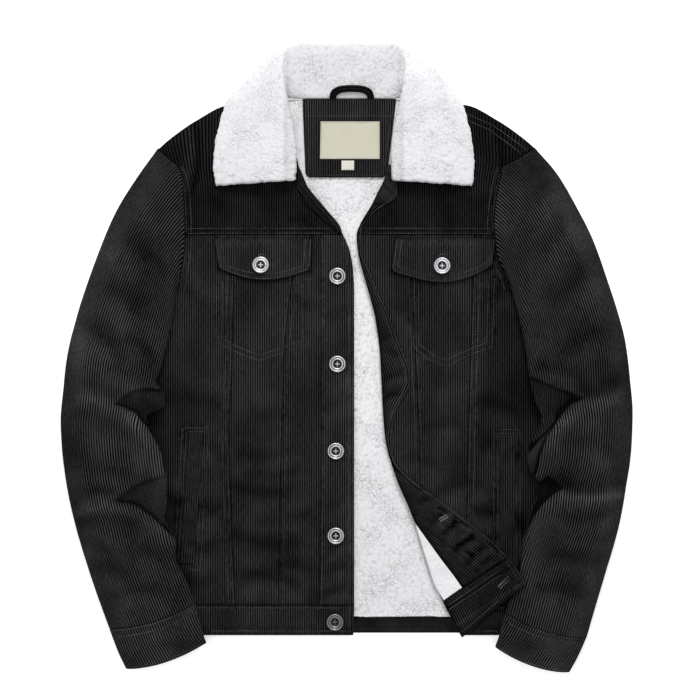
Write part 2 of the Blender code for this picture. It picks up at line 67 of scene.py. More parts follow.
# %% Tables of the cut
MM = 0.001
GAP, LOFT, SEAM, ARMHOLE_GAP = 0.5, 1.2, 0.04, 0.1
SHELL, LINED, PLACKET_EXTRA, TURNED, LABEL = 2.0, 4.0, 1.0, 3.0, 1.0
SLEEVE_WALL, CUFF_WALL, COLLAR_WALL = 2.5, 3.0, 5.4
LINING_EDGE, LINING_MIDDLE, CROWN_REACH = 3.5, 10.0, 45.0
NECK_HALF, NECK_LIFT, HEM_RISE, HEM_START = 100.0, 0.6, 2.0, 18.0
RIDE_EDGE, RIDE_DOWN, RIDE_TOP_Y, RIDE_LENGTH = 2.0, 14.0, 130.0, 40.0
WELT_CLIMB_X, WELT_CLIMB, TIP_CLIMB_X, TIP_CLIMB, TIP_LIFT = 135.0, 40.0, 182.0, 36.0, 18.0
FLATTEST, SEWN_EDGE, SEWN_GAP = 9.0, 3.5, 0.15
LAID = SHELL + GAP
NECK_Y, YOKE_Y, SHOULDER_LEVEL, TOP_LEVEL = 322.0, 152.0, 236.0, 258.0
LEFT_FRONT_FOOT_Y, BAND_TOP_Y, BAND_ROLL_Y = -208.0, -316.0, -341.0
WAIST_SEAM_Y, HEM_Y, BACK_HEM_Y, LINING_HEM_Y = -312.0, -350.0, -349.0, -326.0
COLLAR_CENTRE_X, ROLL_RADIUS = -4.0, 3.7

# y, right side, left side, right front's edge, fold of the left front
BODY = np.array((
    (258, -238, 236, -84, 80), (247, -226.5, 217, -72, 70), (236, -215, 198, -60, 60),
    (212, -207, 190, -49, 42), (190, -205, 187, -31, 31), (168, -204, 185, -14, 18),
    (152, -204, 186, -5, 12), (130, -205, 188, 4, 14), (104, -209, 199, 8, 20),
    (80, -214, 209, 9, 28), (66, -232, 226, 9, 32), (56, -250, 246, 9, 34),
    (-5, -251, 250, 9, 42), (-70, -257, 255, 9, 45), (-104, -258, 256, 9, 48),
    (-154, -254, 252, 9, 62), (-208, -250, 249, 9, 85), (-258, -246, 245, 9, 100),
    (-312, -241, 241, 9, 122), (-350, -239, 239, 8, 143)), float)
SHOULDER = np.array((
    (0, 322), (80, 322), (150, 316), (189, 297), (224, 272.5), (238, 260)), float)
# y, right outer, right inner, placket, left inner, left outer
SEAMS = np.array((
    (152, -141, -62, -33, 80, 160), (0, -144, -79, -32, 86, 155),
    (-104, -148, -82, -32, 91, 152), (-208, -145, -85, -33, 93, 150),
    (-312, -140, -86, -34, 94, 146)), float)
# where a turned strip starts, and its free edge: x, y, x, y
FACING = np.array((
    (51, 240, 56, 239), (48, 226, 59, 226), (43, 213, 63, 212), (37, 200, 62, 199),
    (26, 181, 45, 187), (16, 164, 29, 176),
    (12, 148, 19, 158), (14, 130, 18, 131), (19, 109, 27, 109), (24, 91, 36, 87),
    (36, 45, 54, 47), (40, 20, 62, 24), (43, -30, 80, -28), (45, -70, 62, -69),
    (48, -104, 56, -104), (53, -124, 60, -131), (62, -154, 84, -156), (75, -184, 116, -179),
    (85, -208, 142, -199), (107, -238, 168, -220), (127, -265, 187, -237),
    (145, -290, 201, -251)), float)
TURNED_PILE = np.array((
    (86, -212, 88, -213), (100, -258, 119, -256), (110, -287, 135, -277),
    (121, -306, 144, -290)), float)
TURNED_BAND = np.array((
    (122, -307, 202, -252), (132, -330, 213, -267), (144, -353, 222, -283)), float)
ROLL = np.array((
    (-68, 219, -55, 219), (-50, 189, -34, 193), (-36, 175, -21, 178), (-20, 162, -9, 163),
    (-9, 152.5, -5.5, 152.5)), float)
# outer x, outer y, inner x, inner y, height
RIGHT_SLEEVE = np.array((
    (-243, 261, -214, 82, 10), (-266, 226, -216, 60, 23), (-292, 180, -220, 35, 32),
    (-314, 123, -226, 8, 38), (-334, 62, -232, -17, 40), (-341, 38, -238, -34, 37),
    (-346, 18, -227, -47, 41), (-351, -8, -227, -62, 40), (-355, -40, -250, -76, 32),
    (-358, -80, -240, -100, 38), (-356, -118, -229, -127, 40), (-352, -150, -224, -152, 41),
    (-347, -180, -224, -180, 38), (-341, -208, -227, -206, 33), (-333, -235, -213, -231, 38),
    (-325, -262, -213, -252, 34), (-314, -295, -200, -279, 34), (-298, -341, -189, -308, 28)),
    float)
LEFT_SLEEVE = np.array((
    (242, 262, 209, 82, 10), (268, 229, 214, 55, 23), (289, 189, 219, 30, 32),
    (308, 147, 223, 5, 37), (323, 102, 226, -20, 40), (338, 56, 230, -40, 40),
    (348, 18, 234, -56, 37), (354, -25, 243, -80, 32), (357, -70, 228, -105, 40),
    (356, -105, 224, -126, 40), (354, -132, 228, -145, 37), (350, -160, 243, -163, 31),
    (345, -188, 231, -189, 37), (340, -212, 226, -206, 39), (333, -240, 219, -230, 34),
    (325, -268, 217, -256, 29), (313, -308, 208, -290, 30), (300, -352, 197, -320, 32)),
    float)
RIGHT_CUFF = np.array((
    (-298.5, -339.5, -189.6, -306.5, 29), (-286, -373, -181, -340, 27),
    (-277, -392, -176, -359, 25)),
    float)
LEFT_CUFF = np.array((
    (300.6, -350.5, 197.6, -318.5, 32), (289, -377, 190, -347, 29), (279, -396, 186, -365, 26)),
    float)
# seam xyz, rise of the stand, roll xyz, outermost xyz, free edge xyz
COLLAR = np.array((
    (83, 221, 18.8, -2.4, 64, 220, 23.6, 110, 216, 28, 160, 213, 19),
    (83, 236, 18.8, -2.4, 63, 238, 23.8, 112, 237, 29, 163, 233, 19),
    (84, 258, 18.8, -2.2, 63, 262, 24, 112, 263, 29, 161, 264, 18.7),
    (84, 285, 18.4, -1.5, 67, 290, 25, 112, 292, 28, 155, 293, 18),
    (80, 308, 16, 0, 73, 320, 27, 112, 322, 27, 146, 319, 16.5),
    (73, 323, 10, 1, 77, 346, 26, 116, 344, 21, 131, 337, 8),
    (62, 323, 9, 1.5, 78, 366, 21, 109, 362, 12, 112, 345, 4.2),
    (52, 323, 9, 1.5, 76, 380, 15, 92, 376, 6, 88, 342, 3.8),
    (38, 323, 9, 1.5, 60, 390, 9.5, 66, 376, 4, 60, 339, 3.8),
    (20, 323, 9, 1.5, 32, 391, 8.4, 33, 374, 3.8, 31, 337, 3.8),
    (0, 323, 9, 1.5, 0, 391, 8.4, 0, 374, 3.8, 0, 337, 3.8)))


def smooth(keys, values, at):
    """A column read along a smooth curve through its rows, with no overshoot between them."""
    order = np.argsort(keys)
    keys, values = np.asarray(keys, float)[order], np.asarray(values, float)[order]
    steps = np.diff(keys)
    slopes = np.diff(values) / steps
    before, after = slopes[:-1], slopes[1:]
    agree = before * after > 0
    both = np.where(agree, before + after, 1.0)
    inner = np.where(agree, 2 * before * after / both, 0.0)
    tangents = np.concatenate(([slopes[0]], inner, [slopes[-1]]))
    at = np.clip(at, keys[0], keys[-1])
    span = np.clip(np.searchsorted(keys, at) - 1, 0, len(steps) - 1)
    share = (at - keys[span]) / steps[span]
    square, cube = share ** 2, share ** 3
    return (values[span] * (2 * cube - 3 * square + 1)
            + values[span + 1] * (3 * square - 2 * cube)
            + steps[span] * (tangents[span] * (cube - 2 * square + share)
                             + tangents[span + 1] * (cube - square)))


def read_columns(table, at, columns):
    """Some columns of a table at places counted in rows."""
    rows = np.arange(len(table))
    return np.column_stack([smooth(rows, table[:, index], at) for index in range(columns)])


def body_line(index, shift=0.0):
    return lambda y: smooth(BODY[:, 0], BODY[:, index], y) + shift


def seam_line(index):
    return lambda y: smooth(SEAMS[:, 0], SEAMS[:, index], y)


right_side, left_side, right_edge, left_fold = (body_line(index) for index in (1, 2, 3, 4))
right_outer, right_inner, placket_seam, left_inner, left_outer = (
    seam_line(index) for index in (1, 2, 3, 4, 5))


def shoulder_y(x):
    return smooth(SHOULDER[:, 0], SHOULDER[:, 1], np.abs(x))


print("half chest:", round(float(left_side(0.0) - right_side(0.0))), "mm")

# %% [markdown]
# ## How the layers lie on each other
#
# The back lies on the table, the lining on the back, the fronts on the lining, then the flaps,
# the turned-back edge and the collar. Each layer's height is a function of the place under it,
# so a piece on top always follows what it lies on. `ease` is the soft step used everywhere.

# %% Heights of the layers
def mix(start, end, share):
    return start + (end - start) * share


def ease(share):
    share = np.clip(share, 0.0, 1.0)
    return share * share * (3 - 2 * share)


def bell(distance, width):
    """1 in the middle, and falling away smoothly to either side."""
    return np.exp(-(distance / width) ** 2)


def signed_power(value, power):
    return np.sign(value) * np.abs(value) ** power


def lining_top(x, y):
    sides = np.minimum(x - right_side(y), left_side(y) - x)
    to_neck = shoulder_y(x) - y + NECK_LIFT * np.maximum(0.0, NECK_HALF - np.abs(x))
    inset = np.minimum(np.minimum(sides, to_neck), HEM_RISE * (y - HEM_Y) + HEM_START)
    share = np.clip(inset / CROWN_REACH, 0.0, 1.0)
    return mix(LINING_EDGE, LINING_MIDDLE, np.sin(share * math.pi / 2))


def front_low(x, y):
    return lining_top(x, y) + LOFT


def front_seat(x, y):
    """The underside of a front: on the lining, and down on the back where they are sewn."""
    sides = np.minimum(x - right_side(y), left_side(y) - x)
    inset = np.minimum(sides, shoulder_y(x) - y)
    return mix(SHELL + SEWN_GAP, front_low(x, y), ease(inset / SEWN_EDGE))


def on_front(x, y):
    return lining_top(x, y) + LOFT + LINED + GAP


def sleeve_floor(x, y):
    """A sleeve lies on the body's side, and comes down to the table beside it."""
    outside = np.maximum(np.maximum(right_side(y) - x, x - left_side(y)), HEM_Y - y)
    over = on_front(x, y) + LAID
    lies_on = ease((RIDE_TOP_Y - y) / RIDE_LENGTH)
    return lies_on * over * (1 - ease((outside - RIDE_EDGE) / RIDE_DOWN))


def under_turned_edge(x, y):
    """The turned-back corner climbs onto the pocket welt, and its tip onto the sleeve."""
    onto_welt = LAID * ease((x - WELT_CLIMB_X) / WELT_CLIMB)
    return on_front(x, y) + onto_welt + TIP_LIFT * ease((x - TIP_CLIMB_X) / TIP_CLIMB)


print("the fronts lie", round(float(front_low(np.array(-100.0), np.array(0.0))), 1), "mm up")

# %% [markdown]
# ## Irregular cloth
#
# Real cloth is never even. Three small helpers give it that: a soft lattice noise, rounded
# cells like the curls of pile, and single creases laid down by hand. The lattice's numbers come
# from a fixed formula, so the jacket looks the same every time.

# %% Noise, cells and creases
def scrambled(column, row, seed):
    """A number from 0 to 1 for each place in a lattice, always the same one."""
    wave = np.sin(column * 127.1 + row * 311.7 + seed * 74.7) * 43758.5453
    return wave - np.floor(wave)


def soft_noise(x, y, size, seed):
    """Soft noise from -1 to 1, with lumps of about that size."""
    x, y = x / size, y / size
    column, row = np.floor(x), np.floor(y)
    across, along = ease(x - column), ease(y - row)
    low = mix(scrambled(column, row, seed), scrambled(column + 1, row, seed), across)
    high = mix(scrambled(column, row + 1, seed), scrambled(column + 1, row + 1, seed), across)
    return 2 * mix(low, high, along) - 1


def curls(x, y, size, seed):
    """Rounded lumps: 1 at the top of each curl, 0 in the crevices between them."""
    x, y = x / size, y / size
    column, row = np.floor(x), np.floor(y)
    nearest = np.full(np.shape(x), 9.0)
    for over in (-1, 0, 1):
        for up in (-1, 0, 1):
            c, r = column + over, row + up
            apart = np.hypot(c + scrambled(c, r, seed) - x, r + scrambled(c, r, seed + 5) - y)
            nearest = np.minimum(nearest, apart)
    return np.sqrt(np.clip(1 - (nearest / 0.85) ** 2, 0.0, 1.0))


def crease(x, y, start, end, width, depth, lip=0.5):
    """A soft trough from start to end, with a low ridge of cloth along one side of it."""
    run = np.subtract(end, start)
    length = math.hypot(*run)
    along = ((x - start[0]) * run[0] + (y - start[1]) * run[1]) / length
    side = ((x - start[0]) * run[1] - (y - start[1]) * run[0]) / length
    side = side + 0.08 * length * np.sin(math.pi * np.clip(along / length, 0, 1))
    fade = ease((along + width) / (2.2 * width)) * ease((length + width - along) / (2.2 * width))
    trough = bell(side, width)
    ridge = bell(side - 1.9 * width, 1.3 * width)
    return fade * depth * (lip * ridge - trough)


def creases(x, y, table):
    total = np.zeros(np.shape(x))
    for x0, y0, x1, y1, width, depth in table:
        total = total + crease(x, y, (x0, y0), (x1, y1), width, depth)
    return total


print("noise at one place:", round(float(soft_noise(np.array(3.3), np.array(7.1), 2.0, 1)), 3))

# %% [markdown]
# ## Corduroy's ribs
#
# Corduroy is woven with lengthwise ribs of cut pile, called wales, with a narrow furrow between
# each two. Bump alone would leave them flat at the silhouette, so they are in the mesh: four
# columns of points to each wale, close together at the furrow and far apart over the rib. A
# column's place across the cloth is kept in a UV map named Grain, in metres, and the material
# reads the same map, so the painted shade that darkens its furrows always falls into the mesh's
# own.

# %% Wales
WALE = 2.95
RIB = 0.75
WALE_STEPS = (0.0, 0.2, 0.5, 0.8)
EDGE, EDGE_FADE = 1.6, 1.5
EDGE_STEPS = np.array((0.0, 0.3, 0.8, EDGE))


def wale_columns(low, high, pitch=WALE):
    """Places across the cloth from low to high, four to each wale."""
    wales = np.arange(math.floor(low / pitch), math.ceil(high / pitch) + 1)
    places = (wales[:, None] + np.array(WALE_STEPS)[None, :]).ravel() * pitch
    return places[(places > low) & (places < high)]


def rib(across, pitch=WALE):
    """The height of the ribs: 0 in a furrow and 1 on a wale."""
    return np.abs(np.sin(math.pi * across / pitch)) ** 0.7


def with_edges(places, low, high):
    """The same places, kept off a piece's two edges, where it has columns of its own."""
    low, high = np.asarray(low, float)[:, None], np.asarray(high, float)[:, None]
    steps = np.minimum(EDGE, 0.3 * (high - low)) * np.array((0.0, 0.2, 0.5, 1.0))
    inside = np.clip(places, low + steps[:, -1:], high - steps[:, -1:])
    return np.concatenate((low + steps, inside, high - steps[:, ::-1]), axis=1)


def rounded(distance, radius=EDGE):
    share = np.clip(distance / radius, 0.0, 1.0)
    return np.sqrt(1 - (1 - share) ** 2)


print("wales across the right front:", len(wale_columns(-250, 9)) // len(WALE_STEPS))

# %% [markdown]
# ## From a table of points to a piece of cloth
#
# `cloth` makes the mesh of every sewn piece. It starts from bmesh's own grid, moves its points
# to the places it is given and writes the Grain map and two attributes: Pile,
# each point's tone with the painted light and shade laid on it, from 0 in the crevices to 1, and
# Worn, how far its ribs have been pressed flat. The grid runs over the top of the cloth and back
# underneath, so the first and last columns meet and are merged, and its two ends are closed with
# one face each.

# %% The cloth maker
body_parts = {}


def run_of(places):
    """How far along a line of places each one lies."""
    steps = np.linalg.norm(np.diff(places, axis=0), axis=1)
    return np.concatenate(([0.0], np.cumsum(steps)))


def read_line(line, run, at):
    """Places on a line of points, at some lengths along it."""
    return np.column_stack([np.interp(at, run, column) for column in line.T])


def normals_of(points):
    """The direction out of a surface at each point of a grid of points."""
    down = np.gradient(points, axis=0)
    over = np.gradient(points, axis=1)
    out = np.cross(over, down)
    length = np.linalg.norm(out, axis=2, keepdims=True)
    return out / np.maximum(length, 1e-9)


def closed(grid):
    """The grid with its first column again at its end, so that it comes back to its start."""
    return np.concatenate((grid, grid[:, :1]), axis=1)


def add_object(name, mesh):
    """A smooth object of the jacket, whose triangles are counted."""
    mesh.shade_smooth()
    made = bpy.data.objects.new(name, mesh)
    bpy.context.scene.collection.objects.link(made)
    return made


def to_mesh(bm, name):
    mesh = bpy.data.meshes.new(name)
    bm.to_mesh(mesh)
    bm.free()
    return mesh


def cloth(name, points, grain, nap=0.5, worn=0.0, close=True):
    """A mesh object from a grid of points in millimetres, shaped rows x columns x 3."""
    rows, columns = points.shape[0] - 1, points.shape[1] - 1
    bm = bmesh.new()
    bmesh.ops.create_grid(bm, x_segments=columns, y_segments=rows, size=0.5)
    mesh = bpy.data.meshes.new(name)
    bm.to_mesh(mesh)
    flat = np.zeros(len(mesh.vertices) * 3)
    mesh.vertices.foreach_get("co", flat)
    flat = flat.reshape(-1, 3) + 0.5
    column = np.rint(flat[:, 0] * columns).astype(int)
    row = np.rint(flat[:, 1] * rows).astype(int)
    mesh.vertices.foreach_set("co", (points[row, column] * MM).astype(np.float32).ravel())
    corners = np.zeros(len(mesh.loops), int)
    mesh.loops.foreach_get("vertex_index", corners)
    places = (grain[row, column] * MM)[corners]
    mesh.uv_layers.new(name="Grain").data.foreach_set("uv", places.astype(np.float32).ravel())
    # the attribute Pile holds each point's tone, with its painted light and shade
    for key, rest, values in (("Pile", 0.5, nap), ("Worn", 0.0, worn)):
        full = np.full(points.shape[:2], rest)
        shown = np.shape(values) or full.shape
        full[:shown[0], :shown[1]] = values
        made = mesh.attributes.new(key, "FLOAT", "POINT")
        made.data.foreach_set("value", full[row, column].astype(np.float32))
    bm.clear()
    bm.from_mesh(mesh)
    bmesh.ops.remove_doubles(bm, verts=bm.verts, dist=0.000004)
    if close:
        rims = [edge for edge in bm.edges if edge.is_boundary]
        bmesh.ops.holes_fill(bm, edges=rims, sides=0)
    bmesh.ops.recalc_face_normals(bm, faces=bm.faces)
    bm.to_mesh(mesh)
    bm.free()
    made = add_object(name, mesh)
    body_parts[name] = made
    return made


def sew_in(made, material, replaces):
    """Gives a piece its material, hangs it under the root body and hides the plain parts it
    replaces.
    """
    made.data.materials.append(material)
    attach(made, "root")
    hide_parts(*replaces)


print("cloth maker ready")

# %% [markdown]
# ## Finishes
#
# Cotton corduroy is matt, but the tips of its nap catch light seen from the side, which is what
# a sheen does. The ribs themselves are one shader node group: it reads the Grain map and gives
# back how far into a furrow a point is, which the material darkens with painted shade, and a
# height for the fine nap. The pile of the collar is nearly white, and what shows its curls is the
# grey of painted shade in their crevices, which the mesh has stored as the attribute
# Pile. Thread, label and buttons have small materials of their own.

# %% Node helpers
def new_material(name):
    made = bpy.data.materials.new(name)
    made.use_nodes = True
    return made, made.node_tree, made.node_tree.nodes["Principled BSDF"]


def node(tree, kind, inputs=(), **settings):
    made = tree.nodes.new(kind)
    for key, value in settings.items():
        setattr(made, key, value)
    for key, value in dict(inputs).items():
        if isinstance(value, bpy.types.NodeSocket):
            tree.links.new(value, made.inputs[key])
        else:
            made.inputs[key].default_value = value
    return made


def math_node(tree, operation, first, second=0.0, third=0.0, clamp=False):
    made = node(tree, "ShaderNodeMath", {0: first, 1: second, 2: third}, operation=operation,
                use_clamp=clamp)
    return made.outputs[0]


def blend_colour(tree, share, first, second):
    made = node(tree, "ShaderNodeMix", {0: share, 6: first, 7: second}, data_type="RGBA")
    return made.outputs[2]


def noise_node(tree, place, scale, detail=2.0, roughness=0.5):
    made = node(tree, "ShaderNodeTexNoise", {"Vector": place, "Scale": scale, "Detail": detail,
                                             "Roughness": roughness})
    return made.outputs["Fac"]


def stretched(tree, place, scale):
    made = node(tree, "ShaderNodeMapping", {"Vector": place, "Scale": scale})
    return made.outputs[0]


def uv_map(tree, name="Grain"):
    return node(tree, "ShaderNodeUVMap", uv_map=name).outputs[0]


def stored(tree, name):
    return node(tree, "ShaderNodeAttribute", attribute_name=name).outputs["Fac"]


def object_place(tree):
    return node(tree, "ShaderNodeTexCoord").outputs["Object"]


def between_limits(tree, value, low, high, *results):
    """A value from low to high spread over 0 to 1, or over two other results."""
    limits = dict(enumerate((value, low, high) + results))
    return node(tree, "ShaderNodeMapRange", limits).outputs[0]


def blend_value(tree, share, first, second):
    return node(tree, "ShaderNodeMix", {0: share, 2: first, 3: second}).outputs[0]


def set_plain(shader, **settings):
    """Sets a shader's plain values by their names, with _ for a space."""
    for name, value in settings.items():
        shader.inputs[name.replace("_", " ")].default_value = value


def finish(tree, shader, colour, height, strength, depth, **settings):
    """Joins a colour and a bump to the shader, and sets its plain values."""
    bump = node(tree, "ShaderNodeBump", {"Height": height, "Strength": strength,
                                         "Distance": depth})
    tree.links.new(colour, shader.inputs["Base Color"])
    tree.links.new(bump.outputs[0], shader.inputs["Normal"])
    set_plain(shader, **settings)


print("node helpers ready")

# %% The rib group
def rib_group():
    """Wales from a place across the cloth: a mask of their crests, a tone and a height."""
    tree = bpy.data.node_groups.new("wales", "ShaderNodeTree")
    for name, way, kind in (("Grain", "INPUT", "Vector"), ("Wale", "INPUT", "Float"),
                            ("Ridge", "OUTPUT", "Float"), ("Nap", "OUTPUT", "Float"),
                            ("Height", "OUTPUT", "Float")):
        tree.interface.new_socket(name=name, in_out=way, socket_type="NodeSocket" + kind)
    start = tree.nodes.new("NodeGroupInput")
    end = tree.nodes.new("NodeGroupOutput")
    across = node(tree, "ShaderNodeSeparateXYZ", {0: start.outputs["Grain"]}).outputs[0]
    turns = math_node(tree, "DIVIDE", across, start.outputs["Wale"])
    swing = math_node(tree, "MULTIPLY", turns, math.pi)
    crest = math_node(tree, "ABSOLUTE", math_node(tree, "SINE", swing))
    ridge = math_node(tree, "POWER", crest, 2.4)
    streaks = noise_node(tree, stretched(tree, start.outputs["Grain"], (900, 120, 1)), 1.0)
    fibres = noise_node(tree, stretched(tree, start.outputs["Grain"], (2600, 1300, 1)), 1.0)
    nap = math_node(tree, "MULTIPLY_ADD", fibres, 0.45, math_node(tree, "MULTIPLY", streaks, 0.55))
    height = math_node(tree, "MULTIPLY_ADD", nap, 0.35, math_node(tree, "POWER", crest, 0.7))
    for name, value in (("Ridge", ridge), ("Nap", nap), ("Height", height)):
        tree.links.new(value, end.inputs[name])
    return tree


WALES = rib_group()
print("rib group:", len(WALES.nodes), "nodes")


# %% Corduroy
def corduroy(name, wale_colour, brushed_colour, wale=WALE, relief=0.00035, sharp=1.0):
    """Corduroy in the two tones of its wales; painted shade makes the furrows between them nearly
    black.
    """
    material, tree, shader = new_material(name)
    grain, place = uv_map(tree), object_place(tree)
    tone, worn = stored(tree, "Pile"), stored(tree, "Worn")
    ribs = node(tree, "ShaderNodeGroup", node_tree=WALES)
    tree.links.new(grain, ribs.inputs["Grain"])
    ribs.inputs["Wale"].default_value = wale * MM
    brushed = noise_node(tree, stretched(tree, place, (22, 9, 8)), 1.0, 3.0)
    brushed = between_limits(tree, brushed, 0.36, 0.66)
    nap = between_limits(tree, ribs.outputs["Nap"], 0.38, 0.62)
    light = math_node(tree, "MULTIPLY_ADD", brushed, 0.45, math_node(tree, "MULTIPLY", nap, 0.55))
    colour = blend_colour(tree, light, wale_colour, brushed_colour)
    # painted shade: the colour falls towards black in the furrows between the crests, and is
    # scaled by the stored tone with its painted light and shade
    ridge = math_node(tree, "POWER", ribs.outputs["Ridge"], sharp)
    ridge = blend_value(tree, worn, ridge, 0.36)
    grit = noise_node(tree, stretched(tree, grain, (640, 420, 1)), 1.0, 3.0, 0.7)
    grit = between_limits(tree, grit, 0.34, 0.66, -0.7, 0.9)
    grit = math_node(tree, "MULTIPLY_ADD", grit, math_node(tree, "MULTIPLY", worn, 0.8), 1.0)
    shade = math_node(tree, "MULTIPLY", math_node(tree, "MULTIPLY", ridge, grit),
                      math_node(tree, "MULTIPLY", tone, 2.0))
    colour = node(tree, "ShaderNodeVectorMath", {0: colour, 3: shade}, operation="SCALE")
    pressed = math_node(tree, "MULTIPLY_ADD", worn, -0.8, 1.0)
    height = math_node(tree, "MULTIPLY", ribs.outputs["Height"], pressed)
    finish(tree, shader, colour.outputs[0], height, 0.6, relief, Roughness=0.95,
           Specular_IOR_Level=0.02, Sheen_Weight=0.025, Sheen_Roughness=0.3,
           Sheen_Tint=(0.8, 0.8, 0.85, 1))
    return material


# copies of one black corduroy in different tones: the sleeves' lighter one is a painted sheen, and
# the darker one of the yokes and the hanging loop is painted shade
BLACK_CORDUROY = corduroy("black_corduroy", (0.0145, 0.014, 0.0152, 1), (0.056, 0.0545, 0.058, 1))
PLACKET_CORDUROY = corduroy("placket_corduroy", (0.021, 0.0195, 0.0212, 1),
                            (0.074, 0.069, 0.075, 1))
SLEEVE_CORDUROY = corduroy("sleeve_corduroy", (0.024, 0.0235, 0.0255, 1),
                           (0.105, 0.103, 0.109, 1), wale=3.2, relief=0.0005, sharp=1.5)
SHADED_CORDUROY = corduroy("shaded_corduroy", (0.006, 0.006, 0.0068, 1), (0.028, 0.0275, 0.03, 1))
FACING_CORDUROY = corduroy("facing_corduroy", (0.0115, 0.0112, 0.0125, 1),
                           (0.05, 0.049, 0.0535, 1), relief=0.0005, sharp=1.3)
print("corduroy ready")


# %% Pile
def pile(name, crevice_shade, crest, curl_scale, relief):
    material, tree, shader = new_material(name)
    grain, depth = uv_map(tree), stored(tree, "Pile")
    wander = node(tree, "ShaderNodeTexNoise", {"Vector": grain, "Scale": 260.0, "Detail": 3.0})
    bent = node(tree, "ShaderNodeMix", {0: 0.0045, 4: grain, 5: wander.outputs["Color"]},
                data_type="VECTOR").outputs[1]
    crinkle = node(tree, "ShaderNodeTexVoronoi", {"Vector": bent, "Scale": curl_scale},
                   feature="DISTANCE_TO_EDGE").outputs["Distance"]
    crinkle = between_limits(tree, crinkle, 0.0, 0.16)
    packed = between_limits(tree, noise_node(tree, grain, 26.0), 0.42, 0.6)
    crinkle = blend_value(tree, packed, 0.8, crinkle)
    fine = noise_node(tree, grain, 1900.0, 3.0, 0.7)
    # painted shade: the crevices between the curls are grey, from the crinkle lines and the stored
    # tone
    open_up = math_node(tree, "MULTIPLY_ADD", crinkle, 0.35,
                        math_node(tree, "MULTIPLY", depth, 0.65))
    open_up = math_node(tree, "POWER", open_up, 0.75, clamp=True)
    colour = blend_colour(tree, open_up, crevice_shade, crest)
    lift = math_node(tree, "MULTIPLY_ADD", fine, 0.6, crinkle)
    finish(tree, shader, colour, lift, 0.7, relief, Roughness=1.0, Specular_IOR_Level=0.1,
           Sheen_Weight=0.25, Sheen_Roughness=0.6)
    return material


COLLAR_PILE = pile("collar_pile", (0.34, 0.34, 0.345, 1), (0.785, 0.782, 0.795, 1), 240.0, 0.0006)
LINING_PILE = pile("lining_pile", (0.32, 0.315, 0.325, 1), (0.91, 0.9, 0.912, 1), 240.0, 0.0007)
# the turned-back strip's pile has a duller crest, painted shade on that strip of lining
SMOOTH_PILE = pile("smooth_pile", (0.55, 0.55, 0.555, 1), (0.84, 0.84, 0.845, 1), 300.0, 0.0003)
print("pile ready")

# %% [markdown]
# ## Where the needle goes
#
# A trucker jacket is held together by twin rows of topstitching. Each row is a short list of
# places; the cloth dips along it, and later real stitches are laid in the dip. The rows follow
# the seams by offsets, so they are made from the same tables as the seams.

# %% Stitch rows
def along_seam(line, offset, low, high, step=6.0):
    levels = np.arange(low, high + step, step).clip(low, high)
    return np.column_stack((line(levels) + offset, levels))


def twin_rows(line, near, far, low, high, far_high=None):
    """Two rows beside one seam."""
    return [along_seam(line, near, low, high), along_seam(line, far, low, far_high or high)]


def straight(*corners):
    return np.array(corners, float)


def to_point(share):
    """From 0 at both sides of a flap to 1 at its point."""
    return np.sin((1 - np.abs(2 * share - 1)) * math.pi / 2)


def flap_edge(top_inner, top_outer, low_inner, low_outer, inner_y, outer_y, point_y, inside):
    """The edge of a pocket flap, moved inwards: down its outer side, round and up again."""
    share = np.linspace(0, 1, 25)
    x = mix(low_outer, low_inner, share)
    y = mix(mix(outer_y, inner_y, share), point_y, to_point(share)) + inside
    towards = math.copysign(inside, low_inner - low_outer)
    x = np.clip(x, min(low_outer, low_inner) + inside, max(low_outer, low_inner) - inside)
    first, last = (top_outer + towards, YOKE_Y - 5), (top_inner - towards, YOKE_Y - 5)
    return np.vstack((first, np.column_stack((x, y)), last))


RIGHT_FLAP = (-44, -166, -46, -161, 108, 110, 95)
LEFT_FLAP = (61, 186, 56, 183, 106, 114, 92)
RIGHT_POCKET = straight((-163, 100), (-164, 18), (-136, 4), (-110, -6), (-84, 3), (-48, 16),
                        (-48, 100))
LEFT_POCKET = straight((84, 100), (84, 11), (104, -5), (124, -13), (150, 0), (182, 12), (185, 100))


def welt_rows(top_x, top_y, low_x, low_y, width, out):
    return straight((top_x - out, top_y + out), (low_x - out, low_y - out),
                    (low_x + width + out, low_y - out), (top_x + width + out, top_y + out),
                    (top_x - out, top_y + out))


